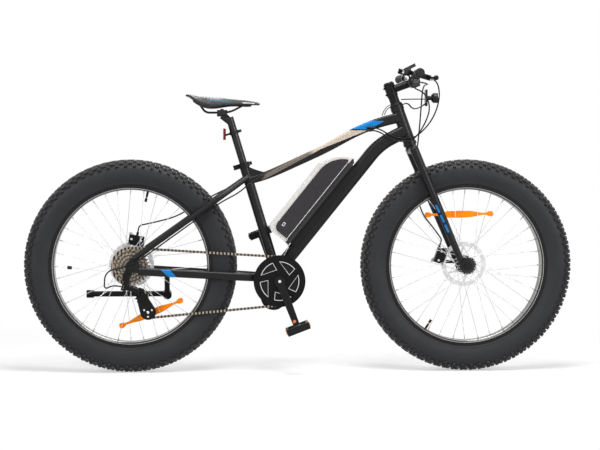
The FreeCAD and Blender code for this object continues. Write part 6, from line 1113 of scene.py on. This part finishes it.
def valve_stem(mesh, axle, angle):
    """A tyre valve that points from the rim to the axle, with a wider cap over a slim thread."""
    way = way_at(angle)
    turn = way.to_track_quat("Z", "Y").to_matrix().to_4x4()
    for start, end, radius in VALVE_PARTS:
        place = Matrix.Translation(axle + way * ((start + end) / 2)) @ turn
        round_bar(mesh, radius, end - start, place)


def valve_finish(settings):
    """Black rubber with a brass thread under the cap."""
    finish = Finish("valve rubber")
    thread = within(finish.wheel_radius(), *VALVE_THREAD)
    finish.colours(thread, speckled(finish, settings.plastic, 0.2, 60), BRASS)
    finish.metallic(0.9 * thread)
    finish.rough(0.4, 0.2, 200)
    return finish.material


# Bolts of the derailleur's cage: the wheel each holds and its radius; rivets round the lower one.
CAGE_BOLTS = {"upper_jockey_wheel": 0.0052, "lower_jockey_wheel": 0.0048}
CAGE_RIVET_ANGLES = (30, 150, 270)
CAGE_RIVET_ORBIT = 0.0155
CAGE_RIVET_RADIUS = 0.0034
CAGE_RIVET_HEIGHT = 0.0012
BOLT_HEIGHT = 0.003

# Each caliper's axle, its turn round it and the body that it rides on.
CALIPERS = {"front": (FRONT_AXLE, 161, "steering"), "rear": (REAR_AXLE, 79, "frame")}
CALIPER_ORBIT = 0.09
CALIPER_BOLT_SHIFTS = (-0.017, 0.017)
CALIPER_BOLT_RADIUS = 0.0042


class FATBIKE_OT_fasteners(bpy.types.Operator):
    """Makes the tyre valves and the bright bolts of the derailleur and brakes"""

    bl_idname = "fatbike.fasteners"
    bl_label = "Fasteners"

    def execute(self, context):
        settings = context.scene.fatbike_finish
        rubber = valve_finish(settings)
        for end, (axle, angle) in VALVES.items():
            mesh = bmesh.new()
            valve_stem(mesh, axle, angle)
            valve = new_piece(f"{end}_valve", mesh, rubber)
            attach(valve, f"{end}_wheel")
        bright = alloy_finish("bolt steel", settings.silver, 0.22, 1.0)
        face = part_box("derailleur_cage")[0][1]
        mesh = bmesh.new()
        for jockey, radius in CAGE_BOLTS.items():
            axis = middle_of(jockey)
            bolt_head(mesh, Vector((axis.x, face, axis.z)), radius, BOLT_HEIGHT)
        axis = middle_of("lower_jockey_wheel")
        for angle in CAGE_RIVET_ANGLES:
            spot = axis + way_at(angle) * CAGE_RIVET_ORBIT
            bolt_head(mesh, Vector((spot.x, face, spot.z)), CAGE_RIVET_RADIUS, CAGE_RIVET_HEIGHT)
        self.fix("derailleur_bolts", mesh, bright, "cage")
        for end, (axle, angle, body) in CALIPERS.items():
            middle = axle + way_at(angle) * CALIPER_ORBIT
            middle.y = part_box(f"{end}_caliper")[0][1]
            mesh = bmesh.new()
            for shift in CALIPER_BOLT_SHIFTS:
                bolt_head(mesh, middle + way_at(angle + 90) * shift, CALIPER_BOLT_RADIUS, BOLT_HEIGHT)
            self.fix(f"{end}_caliper_bolts", mesh, bright, body)
        return {"FINISHED"}

    def fix(self, name, mesh, material, body):
        piece = new_piece(name, mesh, material, smooth=False)
        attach(piece, body)


# Each softbox: its name, its place, its width and the setting that holds its power.
SOFTBOXES = (
    ("overhead", (0.2, -1.1, 3.3), 1.7, "key_power"),
    ("left_side", (-2.7, -2.7, 1.9), 0.9, "fill_power"),
    ("right_side", (2.8, -2.5, 1.6), 0.9, "fill_power"),
    ("behind", (0.3, 3.0, 2.2), 1.4, "fill_power"),
)
LIGHT_TARGET = Vector((0, 0, 0.5))
FLOOR_REACH = 30
SENSOR_WIDTH = 36


class FATBIKE_OT_stage(bpy.types.Operator):
    """Sets up the floor, the softboxes, the surround and the camera"""

    bl_idname = "fatbike.stage"
    bl_label = "Stage"

    def execute(self, context):
        settings = context.scene.fatbike_stage
        scene = context.scene
        scene.view_settings.view_transform = "Standard"
        mesh = bmesh.new()
        bmesh.ops.create_grid(mesh, x_segments=1, y_segments=1, size=FLOOR_REACH)
        floor = new_piece("studio_floor", mesh, self.floor_finish(settings), smooth=False)
        self.surround(scene, settings)
        for name, place, size, power in SOFTBOXES:
            self.softbox(name, Vector(place), size, getattr(settings, power))
        self.camera(scene, settings)
        return {"FINISHED"}

    def floor_finish(self, settings):
        finish = Finish("studio floor", 0.5, Roughness=0.8)
        finish.colour(speckled(finish, settings.floor_colour, 0.01, 2))
        x, y, _ = finish.place()
        far = (x * x * 0.5 + y * y).root().over(1.3, 0.8)
        glow = finish.add("ShaderNodeEmission", {}, {"Color": (1, 1, 1), "Strength": 1.0})
        ray = finish.add("ShaderNodeLightPath", {}, {})
        seen = Shade(finish, ray.outputs["Is Camera Ray"]).most(ray.outputs["Is Glossy Ray"])
        white = seen * far.most(0.5)
        blend = finish.add("ShaderNodeMixShader", {}, [white, finish.shader.outputs[0], glow.outputs[0]])
        finish.tree.links.new(blend.outputs[0], finish.tree.nodes["Material Output"].inputs["Surface"])
        return finish.material

    def surround(self, scene, settings):
        scene.world = bpy.data.worlds.new("studio surround")
        scene.world.use_nodes = True
        nodes = Nodes(scene.world.node_tree)
        ray = nodes.add("ShaderNodeLightPath", {}, {})
        seen = Shade(nodes, ray.outputs["Is Camera Ray"])
        for kind in ("Is Transmission Ray", "Is Glossy Ray"):
            seen = seen.most(ray.outputs[kind])
        ends = {"Value": seen, "To Min": settings.sky_strength, "To Max": 1.0}
        back = nodes.tree.nodes["Background"]
        nodes.feed(back.inputs["Color"], (1, 1, 1))
        nodes.feed(back.inputs["Strength"], nodes.number("ShaderNodeMapRange", {}, ends))

    def softbox(self, name, place, size, power):
        light = bpy.data.lights.new(name, "AREA")
        light.shape = "SQUARE"
        light.size = size
        light.energy = power
        lamp = put_in_scene(name, light)
        lamp.location = place
        lamp.rotation_euler = (LIGHT_TARGET - place).to_track_quat("-Z", "Y").to_euler()

    def camera(self, scene, settings):
        lens = bpy.data.cameras.new("photographer")
        lens.sensor_fit = "HORIZONTAL"
        lens.sensor_width = SENSOR_WIDTH
        lens.lens = SENSOR_WIDTH * settings.distance / settings.view_width
        lens.clip_end = 100
        eye = put_in_scene("photographer", lens)
        target = Vector((settings.target_ahead, 0, settings.target_height))
        level = math.cos(settings.elevation)
        back = Vector((
            -math.sin(settings.azimuth) * level,
            -math.cos(settings.azimuth) * level,
            math.sin(settings.elevation),
        ))
        eye.location = target + back * settings.distance
        eye.rotation_euler = (-back).to_track_quat("-Z", "Y").to_euler()
        scene.camera = eye


class FATBIKE_PT_panel(bpy.types.Panel):
    """Lists the steps that dress the bicycle and their settings"""

    bl_idname = "FATBIKE_PT_panel"
    bl_label = "Fat Bike"
    bl_space_type = "VIEW_3D"
    bl_region_type = "UI"
    bl_category = "Fat Bike"

    def draw(self, context):
        for operator in OPERATORS:
            self.layout.operator(operator.bl_idname)
        for name in SETTINGS:
            box = self.layout.box()
            group = getattr(context.scene, name)
            for field in group.bl_rna.properties:
                if not field.is_readonly:
                    box.prop(group, field.identifier)


SETTINGS = {
    "fatbike_stage": StageSettings,
    "fatbike_finish": FinishSettings,
    "fatbike_tyre": TyreSettings,
    "fatbike_saddle": SaddleSettings,
    "fatbike_cable": CableSettings,
}
OPERATORS = (
    FATBIKE_OT_stage,
    FATBIKE_OT_finishes,
    FATBIKE_OT_tyres,
    FATBIKE_OT_saddle,
    FATBIKE_OT_cables,
    FATBIKE_OT_trim,
    FATBIKE_OT_fasteners,
)


def register():
    for group in SETTINGS.values():
        bpy.utils.register_class(group)
    for name, group in SETTINGS.items():
        setattr(bpy.types.Scene, name, PointerProperty(type=group))
    for kind in (*OPERATORS, FATBIKE_PT_panel):
        bpy.utils.register_class(kind)


def unregister():
    for kind in reversed((*OPERATORS, FATBIKE_PT_panel)):
        bpy.utils.unregister_class(kind)
    for name, group in SETTINGS.items():
        delattr(bpy.types.Scene, name)
        bpy.utils.unregister_class(group)


def main():
    register()
    bpy.ops.fatbike.stage()
    bpy.ops.fatbike.finishes()
    bpy.ops.fatbike.tyres()
    bpy.ops.fatbike.saddle()
    bpy.ops.fatbike.cables()
    bpy.ops.fatbike.trim()
    bpy.ops.fatbike.fasteners()


if __name__ == "__main__":
    main()
